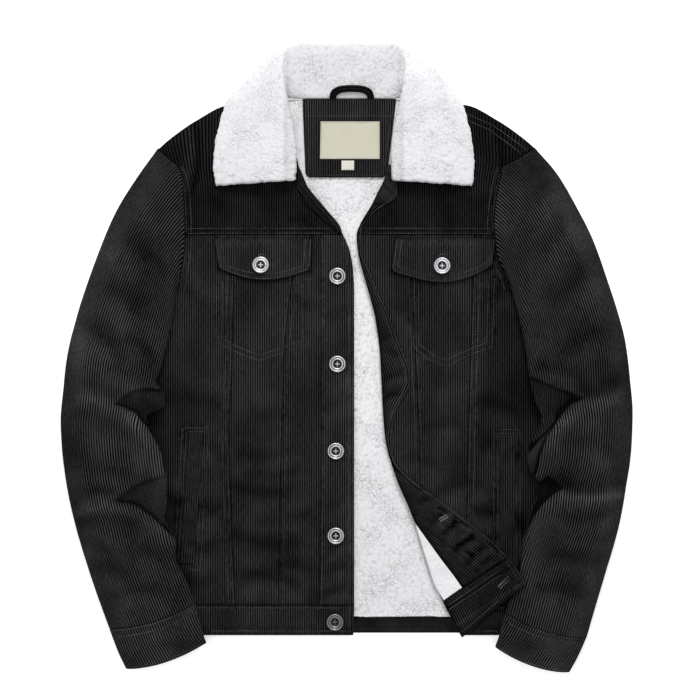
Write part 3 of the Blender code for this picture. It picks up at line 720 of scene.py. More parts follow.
RIGHT_WELT = (-199, -97, -210, -261, 19)
LEFT_WELT = (191, -99, 191, -262, 19)
WAIST_TOP = WAIST_SEAM_Y + 1.0
STITCHES = {
    "right_front": [
        *twin_rows(right_outer, -1.6, -8.0, WAIST_TOP, 150),
        *twin_rows(right_inner, -1.6, 6.0, WAIST_TOP, 150),
        along_seam(placket_seam, 1.6, WAIST_TOP, 150),
        along_seam(right_edge, -6.5, HEM_Y + 8, 145),
        RIGHT_POCKET, RIGHT_POCKET * 0.87 + (-14.0, 6.0),
        straight((-203, 160), (-12, 160)), straight((-203, 153.8), (-8, 153.8)),
        *twin_rows(right_side, 1.8, 8.5, 156, 244, 238),
        *twin_rows(right_side, 1.8, 8.5, 84, 150),
        welt_rows(*RIGHT_WELT, 2.0), welt_rows(*RIGHT_WELT, 7.0)],
    "left_front": [
        *twin_rows(left_outer, 1.6, 8.0, WAIST_TOP, 150),
        along_seam(left_inner, 1.6, WAIST_TOP, 150), along_seam(left_inner, -5.0, -208, 150),
        LEFT_POCKET, LEFT_POCKET * 0.87 + (16.5, 6.0),
        straight((20, 160), (184, 160)), straight((14, 153.8), (184, 153.8)),
        *twin_rows(left_side, -1.8, -8.5, 156, 244, 238),
        *twin_rows(left_side, -1.8, -8.5, 84, 150),
        straight((236, 249), (219, 264), (184, 289), (146, 306), (118, 310)),
        straight((230, 244), (213, 258), (180, 283), (142, 300), (118, 304)),
        welt_rows(*LEFT_WELT, 2.0), welt_rows(*LEFT_WELT, 7.0)],
    "right_band": [
        straight((-239, -315.5), (6, -315.5)), straight((-239, -344.5), (6, -344.5)),
        straight((3.5, -315), (3.5, -347))],
    "left_band": [
        straight((124, -315.5), (239, -315.5)), straight((124, -344.5), (239, -344.5))],
    "right_flap": [flap_edge(*RIGHT_FLAP, 1.6), flap_edge(*RIGHT_FLAP, 8.0)],
    "left_flap": [flap_edge(*LEFT_FLAP, 1.6), flap_edge(*LEFT_FLAP, 8.0)],
}


def resampled(path, step):
    """Evenly spaced places along a path."""
    lengths = run_of(path)
    return read_line(path, lengths, np.arange(0.0, lengths[-1], step))


def dip_along(x, y, paths, width=1.1, depth=0.45):
    """How far the cloth is drawn down by rows of stitching, at each place."""
    total = np.zeros(np.shape(x))
    for number, path in enumerate(paths):
        for start, end in zip(path[:-1], path[1:]):
            run = end - start
            square = max(float(run @ run), 1e-9)
            share = np.clip(((x - start[0]) * run[0] + (y - start[1]) * run[1]) / square, 0, 1)
            away = np.hypot(x - start[0] - share * run[0], y - start[1] - share * run[1])
            tight = 1 + 0.45 * soft_noise(x, y, 5.0, 31 + number)
            total = np.maximum(total, depth * tight * bell(away, width))
    return total


print("rows of stitching:", sum(len(rows) for rows in STITCHES.values()))

# %% [markdown]
# ## The two fronts
#
# Each front is a yoke over three panels, with a waistband below and, on the right one, a folded
# placket for the buttons. Every panel is its own piece: its wales run straight up, its edges
# roll down into the seams, and the rows of stitching draw it in. The creases were laid where a
# jacket that has been folded keeps them, mostly across the lower body, each of its own length
# and depth. `panel` works for the lining and the back too.

# %% Creases in the fronts
RIGHT_CREASES = (
    (-60, -142, -128, -150, 7, 1.5), (-70, -168, -150, -160, 9, 1.8),
    (-88, -128, -140, -118, 8, 1.0),
    (-150, -190, -230, -176, 10, 1.6), (-45, -196, -120, -205, 8, 1.4),
    (-60, -232, -150, -222, 11, 1.9),
    (-160, -232, -235, -246, 9, 1.5), (-90, -262, -40, -270, 8, 1.4),
    (-130, -276, -60, -286, 9, 1.8),
    (-170, -282, -230, -272, 9, 1.3), (-75, -66, -120, -74, 9, 0.9),
    (-150, -60, -205, -44, 10, 1.0),
    (-176, 60, -206, 92, 8, 1.1), (-40, 60, -72, 84, 7, 0.7), (-30, -276, 6, -262, 6, 1.2),
    (-28, -250, 4, -232, 6, 1.0), (-30, -300, 4, -290, 5, 1.3), (-26, -196, 4, -176, 6, 0.8),
    (-30, -70, 4, -52, 7, 0.8), (-28, 40, 4, 60, 7, 0.7), (-176, -110, -150, -134, 8, 1.0))
LEFT_CREASES = (
    (70, -128, 118, -140, 8, 1.1), (112, -172, 172, -160, 9, 1.5), (150, -196, 226, -208, 10, 1.6),
    (176, -232, 236, -222, 9, 1.3), (96, -92, 140, -84, 8, 0.9), (160, -58, 214, -72, 10, 1.1),
    (176, 60, 202, 90, 8, 1.1), (54, 62, 84, 46, 7, 0.8), (100, -40, 150, -30, 9, 0.7),
    (170, -110, 220, -128, 9, 1.3), (180, -276, 232, -290, 8, 1.3), (76, 4, 108, 12, 8, 0.6))
YOKE_CREASES = (
    (-190, 292, -199, 196, 5, 2.2), (186, 286, 189, 200, 5, 1.6),
    (-190, 196, -150, 180, 11, 0.9), (-120, 214, -92, 170, 12, 0.7), (-70, 176, -40, 158, 8, 0.8),
    (186, 210, 160, 182, 10, 0.8), (120, 200, 90, 172, 12, 0.7), (60, 190, 36, 160, 8, 0.8))


def level(height):
    """A flat layer at that height."""
    return lambda x, y: height + 0.0 * x


def no_wear(x, y, away=0.0):
    return 0.0 * x, 0.0 * x


def rubbed(x, y, seed, least=0.15):
    """Patches, from 0 to 1, where the wales have been rubbed nearly flat."""
    patches = soft_noise(x, y, 26.0, seed) + 0.55 * soft_noise(x, y, 9.0, seed + 1)
    return ease((patches - least) / 0.6)


def front_wear(x, y, paths):
    """How much lighter a front is at each place, with painted shade beside the sleeves and painted
    shadow under the flaps, and how far its wales are rubbed.
    """
    near = dip_along(x, y, paths, 4.0, 1.0)
    grit = near * soft_noise(x, y, 4.0, 35)
    low = mix(0.3, 0.8, ease((-20 - y) / 150))
    beside = ease((x - 150) / 40) * ease((150 - y) / 12) + ease((-175 - x) / 30) * ease(-y / 60)
    worn = np.maximum(low * rubbed(x, y, 71), 0.8 * near * ease(0.5 + 0.8 * grit))
    flaps = [flap_edge(*RIGHT_FLAP, -1.5), flap_edge(*LEFT_FLAP, -1.5)]
    shadow = dip_along(x, y, flaps, 3.2, 1.0)
    inner = ease((x + 92) / 12) * ease((-24 - x) / 8) + 0.7 * ease((-312 - y) / 6) * ease(-x / 30)
    # painted shade beside the sleeves and painted shadow under the pocket flaps, with lighter grit
    # along the stitching and a slow random tone
    lighter = 0.24 * grit - 0.18 * beside - 0.3 * shadow + 0.06 * soft_noise(x, y, 45.0, 73)
    return lighter + 0.06 * inner, np.clip(worn, 0, 0.9)


def front_relief(x, y, paths, table):
    """Everything that lifts or draws down a front: creases, slack cloth and stitching."""
    slack = 0.5 * soft_noise(x, y, 34.0, 3) + 0.25 * soft_noise(x, y, 13.0, 4)
    lower = ease((-40 - y) / 160)
    puckered = 0.5 * lower * soft_noise(x, y, 9.0, 6) * soft_noise(x, y, 23.0, 8)
    drawn = dip_along(x, y, paths, 4.5, 0.45) * soft_noise(x, y, 5.0, 36)
    near_waist = bell(y - WAIST_SEAM_Y, 13.0)
    gathers = 0.9 * near_waist * soft_noise(x, y * 0.5, 15.0, 9)
    lifted = slack * 0.8 + puckered + gathers + drawn + creases(x, y, table)
    return lifted - dip_along(x, y, paths)


print("creases laid by hand:", len(RIGHT_CREASES) + len(LEFT_CREASES) + len(YOKE_CREASES))


# %% The panel maker
def panel_rows(low, high, step):
    """Levels from one seam to the next, close together where the edges roll down."""
    inner = np.linspace(low + EDGE, high - EDGE, max(3, round((high - low) / step)))[1:-1]
    return np.concatenate((low + EDGE_STEPS, inner, high - EDGE_STEPS[::-1]))


def fold_light_and_shade(lifted, inside, lighter=0.0):
    """Painted light where the cloth is raised and painted shade in a trough and along a seam."""
    tone = 0.5 + 0.15 * lifted + lighter - 0.2 * bell(inside, 1.3)
    return np.clip(tone, 0.05, 1.0)


def panel(low, high, start, end, bottom, thickness, relief, step=3.4, underside=9, wall=0.5,
          lean=None, teeth=0.0, ribs=RIB, columns=None, fan=True, wear=no_wear):
    """The points of a panel between two upright lines: ribbed on top and plain underneath."""
    levels = panel_rows(low + SEAM, high - SEAM, step)
    first, last = start(levels) + SEAM, end(levels) - SEAM
    places = wale_columns(first.min(), last.max()) if columns is None else columns(levels)
    across = with_edges(places, first, last)
    x = across
    if lean is not None:
        bent = [first - lean(first, levels), last - lean(last, levels)]
        across = with_edges(wale_columns(bent[0].min(), bent[1].max()), *bent)
        x = across + lean(across, levels[:, None])
        share = (x - x[:, :1]) / (x[:, -1:] - x[:, :1])
        x = mix(first[:, None], last[:, None], share)
    back = np.linspace(1, 0, underside + 1)
    under_x = mix(first[:, None], last[:, None], back)
    share = np.concatenate((x, under_x), axis=1) - first[:, None]
    share = share / (last - first)[:, None]
    rise = np.clip((levels - SHOULDER_LEVEL) / (TOP_LEVEL - SHOULDER_LEVEL), 0, fan)[:, None]
    top_x = mix(start(TOP_LEVEL) + SEAM, end(TOP_LEVEL) - SEAM, share)
    y = np.where(rise > 0, mix(SHOULDER_LEVEL, shoulder_y(top_x), rise), levels[:, None])
    y, under_y = y[:, :x.shape[1]], y[:, x.shape[1]:]
    from_side = np.minimum(x - first[:, None], last[:, None] - x)
    inside = np.minimum(from_side, np.minimum(levels - levels[0], levels[-1] - levels)[:, None])
    if teeth:
        y = y - teeth * rib(across) * np.exp(-(levels - levels[0]) / 1.5)[:, None]
    roll = thickness * mix(wall, 1.0, rounded(inside))
    lifted = relief(x, y)
    lighter, worn = wear(x, y)
    wales = ribs * (rib(across) - 1) * (1 - 0.6 * worn)
    z = bottom(x, y) + roll + (lifted + wales) * ease(inside / EDGE_FADE)
    top = np.stack((x, y, z), axis=2)
    under = np.stack((under_x, under_y, bottom(under_x, under_y)), axis=2)
    grain = np.concatenate((np.stack((across, y), axis=2), under[:, :, :2]), axis=1)
    points = np.concatenate((top, under), axis=1)
    return closed(points), closed(grain), top, fold_light_and_shade(lifted, inside, lighter), worn


def add_panel(node_name, material, slot, rests_on, *cut, **details):
    points, grain, top, tone, worn = panel(*cut, **details)
    made = cloth(node_name + "_cloth", points, grain, tone, worn)
    sew_in(made, material, [node_name])


print("panel maker ready")


# %% Yokes and panels
def shoulder_lean(x, y):
    """At the point of the shoulder the yoke's wales lean outwards."""
    outer = ease((np.abs(x) - 160) / 50)
    up = np.maximum(y - 200, 0)
    return np.sign(x) * outer * 0.6 * up * up / (up + 40)


def add_front(node_name, material, *cut, **details):
    """A panel of corduroy that lies on the lining."""
    add_panel(node_name, material, "corduroy", ["back_lining"], *cut, **details)


def front_cloth(name, table):
    """What lifts the cloth of one front, what wears it and lays painted shade on it, and where it
    lies.
    """
    rows = STITCHES[name]
    return dict(bottom=front_seat, thickness=LINED,
                relief=lambda x, y: front_relief(x, y, rows, table + YOKE_CREASES),
                wear=lambda x, y: front_wear(x, y, rows))


RIGHT = front_cloth("right_front", RIGHT_CREASES)
LEFT = front_cloth("left_front", LEFT_CREASES)
for name, start, end, cloth_of in (("right_yoke", right_side, right_edge, RIGHT),
                                   ("left_yoke", left_fold, left_side, LEFT)):
    add_front(name, SHADED_CORDUROY, YOKE_Y, TOP_LEVEL, start, end, lean=shoulder_lean, **cloth_of)
for name, low, start, end, cloth_of in (
        ("right_side_panel", WAIST_SEAM_Y, right_side, right_outer, RIGHT),
        ("right_centre_panel", WAIST_SEAM_Y, right_outer, right_inner, RIGHT),
        ("right_front_panel", WAIST_SEAM_Y, right_inner, placket_seam, RIGHT),
        ("left_side_panel", WAIST_SEAM_Y, left_outer, left_side, LEFT),
        ("left_centre_panel", WAIST_SEAM_Y, lambda y: np.maximum(left_inner(y), left_fold(y)),
         left_outer, LEFT),
        ("left_front_panel", LEFT_FRONT_FOOT_Y, left_fold, left_inner, LEFT)):
    add_front(name, BLACK_CORDUROY, low, YOKE_Y, start, end, **cloth_of)


# %% Placket and waistband
THICK = LINED + PLACKET_EXTRA
add_front("right_placket", PLACKET_CORDUROY, WAIST_SEAM_Y, YOKE_Y, placket_seam, right_edge,
          **{**RIGHT, "thickness": THICK})


def band_relief(rows, waviness, seed):
    """Slack cloth between the waistband's two seams, and a rolled lower edge."""
    def relief(x, y):
        edge = 0.7 * bell(y - BAND_ROLL_Y, 2.0)
        waves = waviness * soft_noise(x, y * 0.7, 16.0, seed)
        waves = waves * ease((BAND_TOP_Y - y) / 8) * ease((y - BAND_ROLL_Y + 1) / 8)
        return waves - edge - dip_along(x, y, rows)
    return relief


def band_wear(x, y):
    return front_wear(x, y, STITCHES["right_band"] + STITCHES["left_band"])


for name, rows, start, end, waviness, seed in (
        ("right_waistband", STITCHES["right_band"], right_side, right_edge, 0.7, 12),
        ("left_waistband", STITCHES["left_band"], left_fold, left_side, 0.6, 14)):
    add_front(name, BLACK_CORDUROY, HEM_Y, WAIST_SEAM_Y, start, end, front_seat, THICK,
              band_relief(rows, waviness, seed), step=2.6, teeth=0.6, wear=band_wear)

# %% [markdown]
# ## Lining and back
#
# The lining is the same panel with curls instead of wales. It is only seen between the fronts,
# so its columns are close together there and far apart under them: the mesh spends its points
# where they show. The back lies face down, so its ribs are underneath; the waistband's inside is
# a smooth faced strip with one row of stitching near the hem.

# %% Curly pile
def curly(x, y, seed):
    """The height of curly pile, in millimetres, and how open it is, from 0 to 1."""
    bend_x = x + 1.3 * soft_noise(x, y, 4.5, seed + 1)
    bend_y = y + 1.3 * soft_noise(x, y, 4.5, seed + 2)
    big = curls(bend_x, bend_y, 5.2, seed)
    small = curls(bend_x, bend_y, 2.9, seed + 3)
    loose = 0.5 + 0.5 * soft_noise(x, y, 21.0, seed + 4)
    height = 0.9 * big + 0.6 * small + 0.25 * soft_noise(x, y, 2.1, seed + 6)
    return height * (0.75 + 0.4 * loose), 0.45 * big + 0.55 * small


# %% The back lining
SHOWN_FROM_X, SHOWN_PAST = -4.0, 14


def lining_columns(levels):
    """Close together between the two fronts, where the lining shows."""
    shows_from = np.minimum(right_edge(levels), SHOWN_FROM_X) - 10
    shows_to = left_fold(levels) + 10
    dense = np.linspace(0, 1, 116)
    sides = np.linspace(0, 1, 8)[:-1]
    low, high = right_side(levels) + 4, left_side(levels) - 4
    return np.concatenate((mix(low[:, None], shows_from[:, None], sides),
                           mix(shows_from[:, None], shows_to[:, None], dense),
                           mix(high[:, None], shows_to[:, None], sides)[:, ::-1]), axis=1)


lining = {}


def lining_relief(x, y):
    """Curls where the lining shows between the fronts, and plain cloth under them."""
    height, lining["open"] = curly(x, y, 50)
    shows = ease((x - np.minimum(right_edge(y), SHOWN_FROM_X) + SHOWN_PAST) / 8)
    shows = shows * ease((left_fold(y) + SHOWN_PAST - x) / 8)
    return (height - 1.1) * shows - 0.8


points, grain, top, _, _ = panel(
    LINING_HEM_Y, TOP_LEVEL, body_line(1, SEWN_EDGE), body_line(2, -SEWN_EDGE), level(LAID), 1.0,
    lining_relief, step=1.45, ribs=0.0, columns=lining_columns)
tufts = 1.6 * curly(grain[:, :, 0], grain[:, :, 1] * 0.4, 61)[0]
tufts = np.where((points[:, :, 0] > -20) & (points[:, :, 0] < 160), tufts, 0.8)
hem = np.exp(-(grain[:, :, 1] - LINING_HEM_Y) / 3.0)
points[:, :, 1] -= (tufts - 0.8) * hem
off_neck = ease((np.abs(points[:, :, 0]) - 80) / 12)
points[:, :, 1] -= SEWN_EDGE * off_neck * ease((points[:, :, 1] - 200) / 50)
thick = lining_top(points[:, :, 0], points[:, :, 1]) - LAID
points[:, :top.shape[1], 2] += (thick - 1.0)[:, :top.shape[1]]
points[:, -1, 2] = points[:, 0, 2]
seat_y = top[:, :, 1]
# painted shade: the lining is darker towards the neck and towards the hem, and the crevices of its
# curls darker still
painted_lining_shade = -0.3 * ease((seat_y - 150) / 60) - 0.22 * ease((-40 - seat_y) / 160)
lining_tone = np.clip(1.25 * lining["open"] - 0.2 + painted_lining_shade, 0, 1)
made = cloth("back_lining_pile", points, grain, lining_tone)
sew_in(made, LINING_PILE, ["back_lining"])

# %% The back
STITCHES["back"] = [straight((-205, y), (188, y)) for y in (118, 111)]
STITCHES["back"] += [straight((x, 110), (x - math.copysign(26, x), -306))
                     for x in (-92, -98, 86, 92)]


def back_relief(x, y):
    return -1.6 * dip_along(x, y, STITCHES["back"], 1.3)


def back_side(index, reach):
    """The back's side, which reaches a little way under the sleeve at the armhole."""
    return lambda y: body_line(index)(y) + reach * ease((y - 80) / 6) * ease((256 - y) / 6)


points, grain, top, _, _ = panel(WAIST_SEAM_Y, TOP_LEVEL, back_side(1, -1.2), back_side(2, 1.2),
                                 level(-SHELL), SHELL, back_relief, step=16.0, ribs=0.6,
                                 underside=24)
points[:, :, 2] = np.maximum(-points[:, :, 2], 0.0)
made = cloth("back_cloth", points, grain)
sew_in(made, BLACK_CORDUROY, ["back"])


# %% The waistband's inside
BAND_ROW_Y = -341.5


def band_inside_relief(x, y):
    return (0.35 * soft_noise(x, y * 2, 26.0, 15) - 0.9 * bell(y - BAND_ROW_Y, 1.0)
            - 0.25 * ease(BAND_ROW_Y - y))


BAND_CLOTH = corduroy("band_inside", (0.014, 0.014, 0.015, 1), (0.055, 0.055, 0.058, 1),
                      wale=1.1, relief=0.0001)
points, grain, top, tone, _ = panel(BACK_HEM_Y, WAIST_SEAM_Y, right_side, left_side, level(0.0),
                                    SHELL, band_inside_relief, step=1.8, ribs=0.0,
                                    columns=lambda levels: np.linspace(-238, 238, 150))
made = cloth("back_waistband_cloth", points, grain, tone)
sew_in(made, BAND_CLOTH, ["back_waistband"])

# %% [markdown]
# ## Inside the neck
#
# A corduroy patch covers the join of collar and lining, and carries the labels and the loop to
# hang the jacket by. The labels are plain woven cloth in the pale green and cream of a printed
# one, with no words or pictures on them. The patch's lower corners are rounded by letting its
# two side lines curve inwards there.

# %% Label cloth
def woven(name, low_colour, high_colour):
    material, tree, shader = new_material(name)
    grain = uv_map(tree)
    along = node(tree, "ShaderNodeSeparateXYZ", {0: grain}).outputs[1]
    fade = between_limits(tree, along, 0.25, 0.294)
    threads = [node(tree, "ShaderNodeTexWave", {"Vector": grain, "Scale": 520.0},
                    bands_direction=way).outputs["Fac"] for way in "XY"]
    weave = math_node(tree, "MULTIPLY", *threads)
    cloudy = noise_node(tree, grain, 120.0, 3.0)
    share = math_node(tree, "MULTIPLY_ADD", cloudy, 0.7, math_node(tree, "MULTIPLY", fade, 0.4))
    colour = blend_colour(tree, share, low_colour, high_colour)
    finish(tree, shader, colour, weave, 0.4, 0.0001, Roughness=0.6)
    return material


LABEL_CLOTH = woven("label_cloth", (0.57, 0.545, 0.44, 1), (0.5, 0.485, 0.37, 1))
SIZE_CLOTH = woven("size_label_cloth", (0.62, 0.6, 0.5, 1), (0.7, 0.68, 0.6, 1))
print("label cloth ready")


# %% Patch and labels
def side_line(low_x, top_x, low_y, top_y, round_by=0.0):
    """A straight side whose foot curves inwards by round_by."""
    inwards = -math.copysign(1.0, low_x) * abs(round_by)

    def line(y):
        rise = np.clip((y - low_y) / max(abs(round_by), 1e-6), 0.0, 1.0)
        foot = 1 - np.sqrt(1 - (1 - rise) ** 2)
        return mix(low_x, top_x, (y - low_y) / (top_y - low_y)) + inwards * foot
    return line


STITCHES["patch"] = [
    straight((-53, 301), (59, 301)), straight((-49, 320), (-46.5, 232), (-41, 227), (40, 227),
                                              (46, 232), (58.5, 320))]
STITCHES["label"] = [straight((-32.5, 248.5), (-32, 292.5), (39.5, 292.5), (39.5, 248.5),
                              (-32.5, 248.5))]


def patch_relief(x, y):
    return (0.4 * soft_noise(x, y, 22.0, 17) - dip_along(x, y, STITCHES["patch"])
            + 0.5 * bell(y - 303.5, 2.0))


def label_relief(x, y):
    return 0.35 * soft_noise(x, y, 17.0, 18) - dip_along(x, y, STITCHES["label"], 0.8, 0.3)


NECK = (
    ("neck_patch", BLACK_CORDUROY, "corduroy", "back_lining", (-52, -56), (50, 62), 224.0, 322.8,
     GAP, SHELL, patch_relief, 7.0, RIB * 0.8, None),
    ("main_label", LABEL_CLOTH, "label", "neck_patch", (-34, -33), (41, 41), 247.0, 294.0,
     2 * GAP + SHELL, LABEL, label_relief, 0.0, 0.0, 60),
    ("size_label", SIZE_CLOTH, "label", "neck_patch", (-7, -7), (9, 9), 233.0, 245.0,
     2 * GAP + SHELL, LABEL, label_relief, 0.0, 0.0, 14))
for (name, material, slot, below, left, right, low, high, lift, thick, relief, corner, ribs,
        count) in NECK:
    columns = None if count is None else (lambda levels, n=count: np.linspace(-60, 60, n))
    add_panel(name, material, slot, [below], low, high, side_line(*left, low, high, corner),
              side_line(*right, low, high, corner),
              bottom=lambda x, y, up=lift: lining_top(x, y) + up, thickness=thick, relief=relief,
              step=2.6, ribs=ribs, columns=columns, fan=False)

# %% [markdown]
# ## Strips: the turned-back edge, the rolled neck edge and the hanging loop
#
# A strip runs between two lines, the one where it starts and its free edge. Its wales follow
# the free edge, so the columns of its mesh are placed by their distance from that edge, and
# those that would pass the strip's other side are gathered into it.

# %% The strip maker
def table_lines(table, count):
    """The two lines of a strip's table, as smooth runs of places."""
    columns = read_columns(table, np.linspace(0, len(table) - 1, count), 4)
    return columns[:, :2], columns[:, 2:]


def strip(start, free, base, thickness, relief, ribs=RIB, underside=4, fold=EDGE, fold_wall=0.5,
          wear=no_wear):
    chord = free - start
    along = np.gradient(free, axis=0)
    turn = np.abs(chord[:, 0] * along[:, 1] - chord[:, 1] * along[:, 0])
    reach = turn / np.maximum(np.linalg.norm(along, axis=1), 1e-6)
    away = with_edges(wale_columns(0, reach.max()), 0 * reach, reach)
    run = run_of(free)
    from_end = np.minimum(run, run[-1] - run)[:, None]
    back = np.linspace(1, 0, underside + 1)[None, :] * reach[:, None]
    both = np.concatenate((away, back), axis=1)
    share = (1 - both / reach[:, None])[:, :, None]
    places = start[:, None, :] + chord[:, None, :] * share
    x, y = places[:, :, 0], places[:, :, 1]
    count = away.shape[1]
    inside = np.minimum(away, np.minimum(reach[:, None] - away, from_end))
    to_fold = reach[:, None] - away
    roll = mix(0.5, 1.0, rounded(np.minimum(away, from_end)))
    roll = np.minimum(roll, mix(fold_wall, 1.0, rounded(to_fold, fold)))
    top_x, top_y = x[:, :count], y[:, :count]
    z = base(x, y)
    lifted = relief(top_x, top_y, away)
    lighter, worn = wear(top_x, top_y, away)
    wales = ribs * (rib(away) - 1) * (1 - 0.6 * worn)
    z[:, :count] += thickness * roll + (lifted + wales) * ease(inside / EDGE_FADE)
    grain = np.stack((both, np.broadcast_to(run[:, None], both.shape)), axis=2)
    points = np.stack((x, y, z), axis=2)
    # painted shade along the strip's folded edge, added to the painted light and shade of its
    # folds
    tone = fold_light_and_shade(lifted, inside, lighter) - 0.2 * bell(to_fold, 5.0)
    return closed(points), closed(grain), points[:, :count], np.maximum(tone, 0.05), worn


def add_strip(node_name, material, slot, rests_on, lines, base, thickness, relief,
              held="folded", nap=None, **details):
    points, grain, top, tone, worn = strip(*lines, base, thickness, relief, **details)
    made_name = node_name + ("_pile" if slot == "pile" else "_cloth")
    made = cloth(made_name, points, grain, tone if nap is None else nap(top), worn)
    sew_in(made, material, [node_name])


print("strip maker ready")

# %% The turned-back edge
FACING_CREASES = (
    (150, -262, 176, -236, 4, 1.1), (134, -246, 160, -226, 4, 1.2), (120, -226, 140, -206, 4, 1.2),
    (104, -212, 122, -196, 4, 1.0), (88, -186, 104, -178, 4, 0.9), (160, -270, 186, -250, 4, 0.9),
    (64, -140, 76, -150, 4, 0.6), (50, 6, 66, 0, 4, 0.9), (46, -30, 74, -20, 4, 1.0),
    (48, -52, 70, -46, 4, 0.9), (44, 20, 56, 26, 3, 0.7), (134, -199, 131, -214, 2.2, 1.6),
    (159, -220, 136, -238, 2.4, 1.9), (165, -217, 176, -227, 2.2, 1.3),
    (112, -190, 126, -197, 2.0, 1.3), (140, -208, 152, -213, 2.0, 1.4),
    (146, -243, 158, -252, 2.4, 1.5), (92, -166, 106, -170, 2.4, 1.3),
    (176, -233, 188, -246, 2.2, 1.4), (50, 232, 54, 214, 2.2, 1.4), (44, 214, 58, 200, 2.4, 1.6),
    (34, 190, 56, 186, 2.2, 1.2))


def facing_relief(x, y, away):
    hem = 0.8 * bell(away - 3.0, 1.5) - 0.7 * bell(away - 5.6, 1.0)
    inner = -0.8 * bell(away - 40.0, 1.4)
    return hem + inner + creases(x, y, FACING_CREASES) + 0.5 * soft_noise(x, y, 11.0, 21)


def facing_wear(x, y, away):
    """The hem's edge and fold are rubbed light, the wales are brushed flat in patches, and the
    creases get painted light on their ridges and painted shade in their troughs.
    """
    hem = 0.4 * bell(away - 1.0, 0.9) - 0.3 * bell(away - 3.2, 1.1)
    hem = hem + 0.3 * bell(away - 6.4, 0.9)
    holes = dip_along(x, y, [straight((117, -206), (125, -199))], 9.0, 1.0)
    worn = np.maximum(0.85 * rubbed(x, y, 75, -0.35), holes)
    top = ease((y - 180) / 25)
    tone = hem + 0.2 * holes * soft_noise(x, y, 4.0, 77) + 0.18 * creases(x, y, FACING_CREASES)
    gritty = soft_noise(x, y, 3.6, 78)
    tone = tone + top * (0.42 + 0.3 * gritty) + 0.16 * ease((-150 - y) / 60) * gritty
    return tone, np.clip(np.maximum(worn, 0.6 * top), 0, 0.9)


BAND_CORNER, BAND_RUN, HEM_FOLD, BAND_WIDTH = (122, -307), (0.824, 0.566), 9.5, 33.0


def turned_band_wear(x, y, away):
    """The band's folded hem along its seam, and the light edge along its other side."""
    down = (x - BAND_CORNER[0]) * BAND_RUN[1] - (y - BAND_CORNER[1]) * BAND_RUN[0]
    lines = 0.35 * bell(down - BAND_WIDTH, 1.6)
    lines = lines - 0.35 * bell(down - HEM_FOLD, 1.2)
    lines = lines + 0.2 * bell(down - 1.2, 1.0) + 0.2 * bell(away - 1, 1.2)
    return lines - 0.05, 0.7 * rubbed(x, y, 79)


def band_strip_relief(x, y, _):
    return 0.4 * soft_noise(x, y, 14.0, 22) - dip_along(x, y, STITCHES["turned_band"])


def pile_strip_relief(x, y, _):
    return 0.45 * curly(x, y, 55)[0] + 0.6 * soft_noise(x, y, 12.0, 24) - 1.2


STITCHES["turned_band"] = [
    straight((126, -312), (198, -262)), straight((127.5, -317), (201, -267)),
    straight((142, -347), (214, -283)), straight((198, -256), (217, -281))]
add_strip("left_facing", FACING_CORDUROY, "corduroy",
          ["left_front_panel_cloth", "left_centre_panel_cloth"], table_lines(FACING, 190),
          under_turned_edge, TURNED, facing_relief, fold=3.0, fold_wall=0.1, wear=facing_wear)
add_strip("left_turned_band", FACING_CORDUROY, "corduroy",
          ["left_waistband_cloth"], table_lines(TURNED_BAND, 36),
          lambda x, y: under_turned_edge(x, y) + PLACKET_EXTRA, TURNED, band_strip_relief,
          fold=3.0, fold_wall=0.3, wear=turned_band_wear)
add_strip("left_turned_lining", SMOOTH_PILE, "pile",
          ["left_centre_panel_cloth"], table_lines(TURNED_PILE, 90), under_turned_edge, TURNED,
          pile_strip_relief, nap=lambda top: 0.3 + 0.7 * curly(top[:, :, 0], top[:, :, 1], 55)[1],
          ribs=0.0, fold=3.0, fold_wall=0.1)


# %% The rolled neck edge
def roll_relief(x, y, away):
    middle = -1.3 * bell(away - 7.5, 1.1)
    return middle + 0.5 * soft_noise(x, y, 6.0, 26)


add_strip("right_neck_roll", FACING_CORDUROY, "corduroy",
          ["right_yoke_cloth"], table_lines(ROLL, 40), on_front, SHELL, roll_relief, fold=2.0,
          fold_wall=0.2)

# %% The hanging loop
LOOP_X, LOOP_SPAN, LOOP_RISE, LOOP_STRAP, LOOP_FOOT = 6.0, 28.0, 16.5, 8.5, 14.6


def loop_line(reach, count=70):
    """One edge of the loop, an arch that stands on the collar seam."""
    turn = math.pi * (1 - np.linspace(0, 1, count))
    across, up = signed_power(np.cos(turn), 0.75), np.abs(np.sin(turn)) ** 0.75
    return np.column_stack((LOOP_X + across * (LOOP_SPAN + reach),
                            NECK_Y + 0.8 + up * (LOOP_RISE + reach)))


def loop_base(_, y):
    return LOOP_FOOT - SHELL + 3.0 * np.clip((y - NECK_Y - 0.8) / 12.0, 0, 1)


add_strip("hanger_loop", SHADED_CORDUROY, "corduroy", ["collar_pile"],
          (loop_line(-LOOP_STRAP), loop_line(0.0)), loop_base, SHELL,
          lambda x, y, away: -0.8 * bell(away - 3.5, 0.7), ribs=0.15)

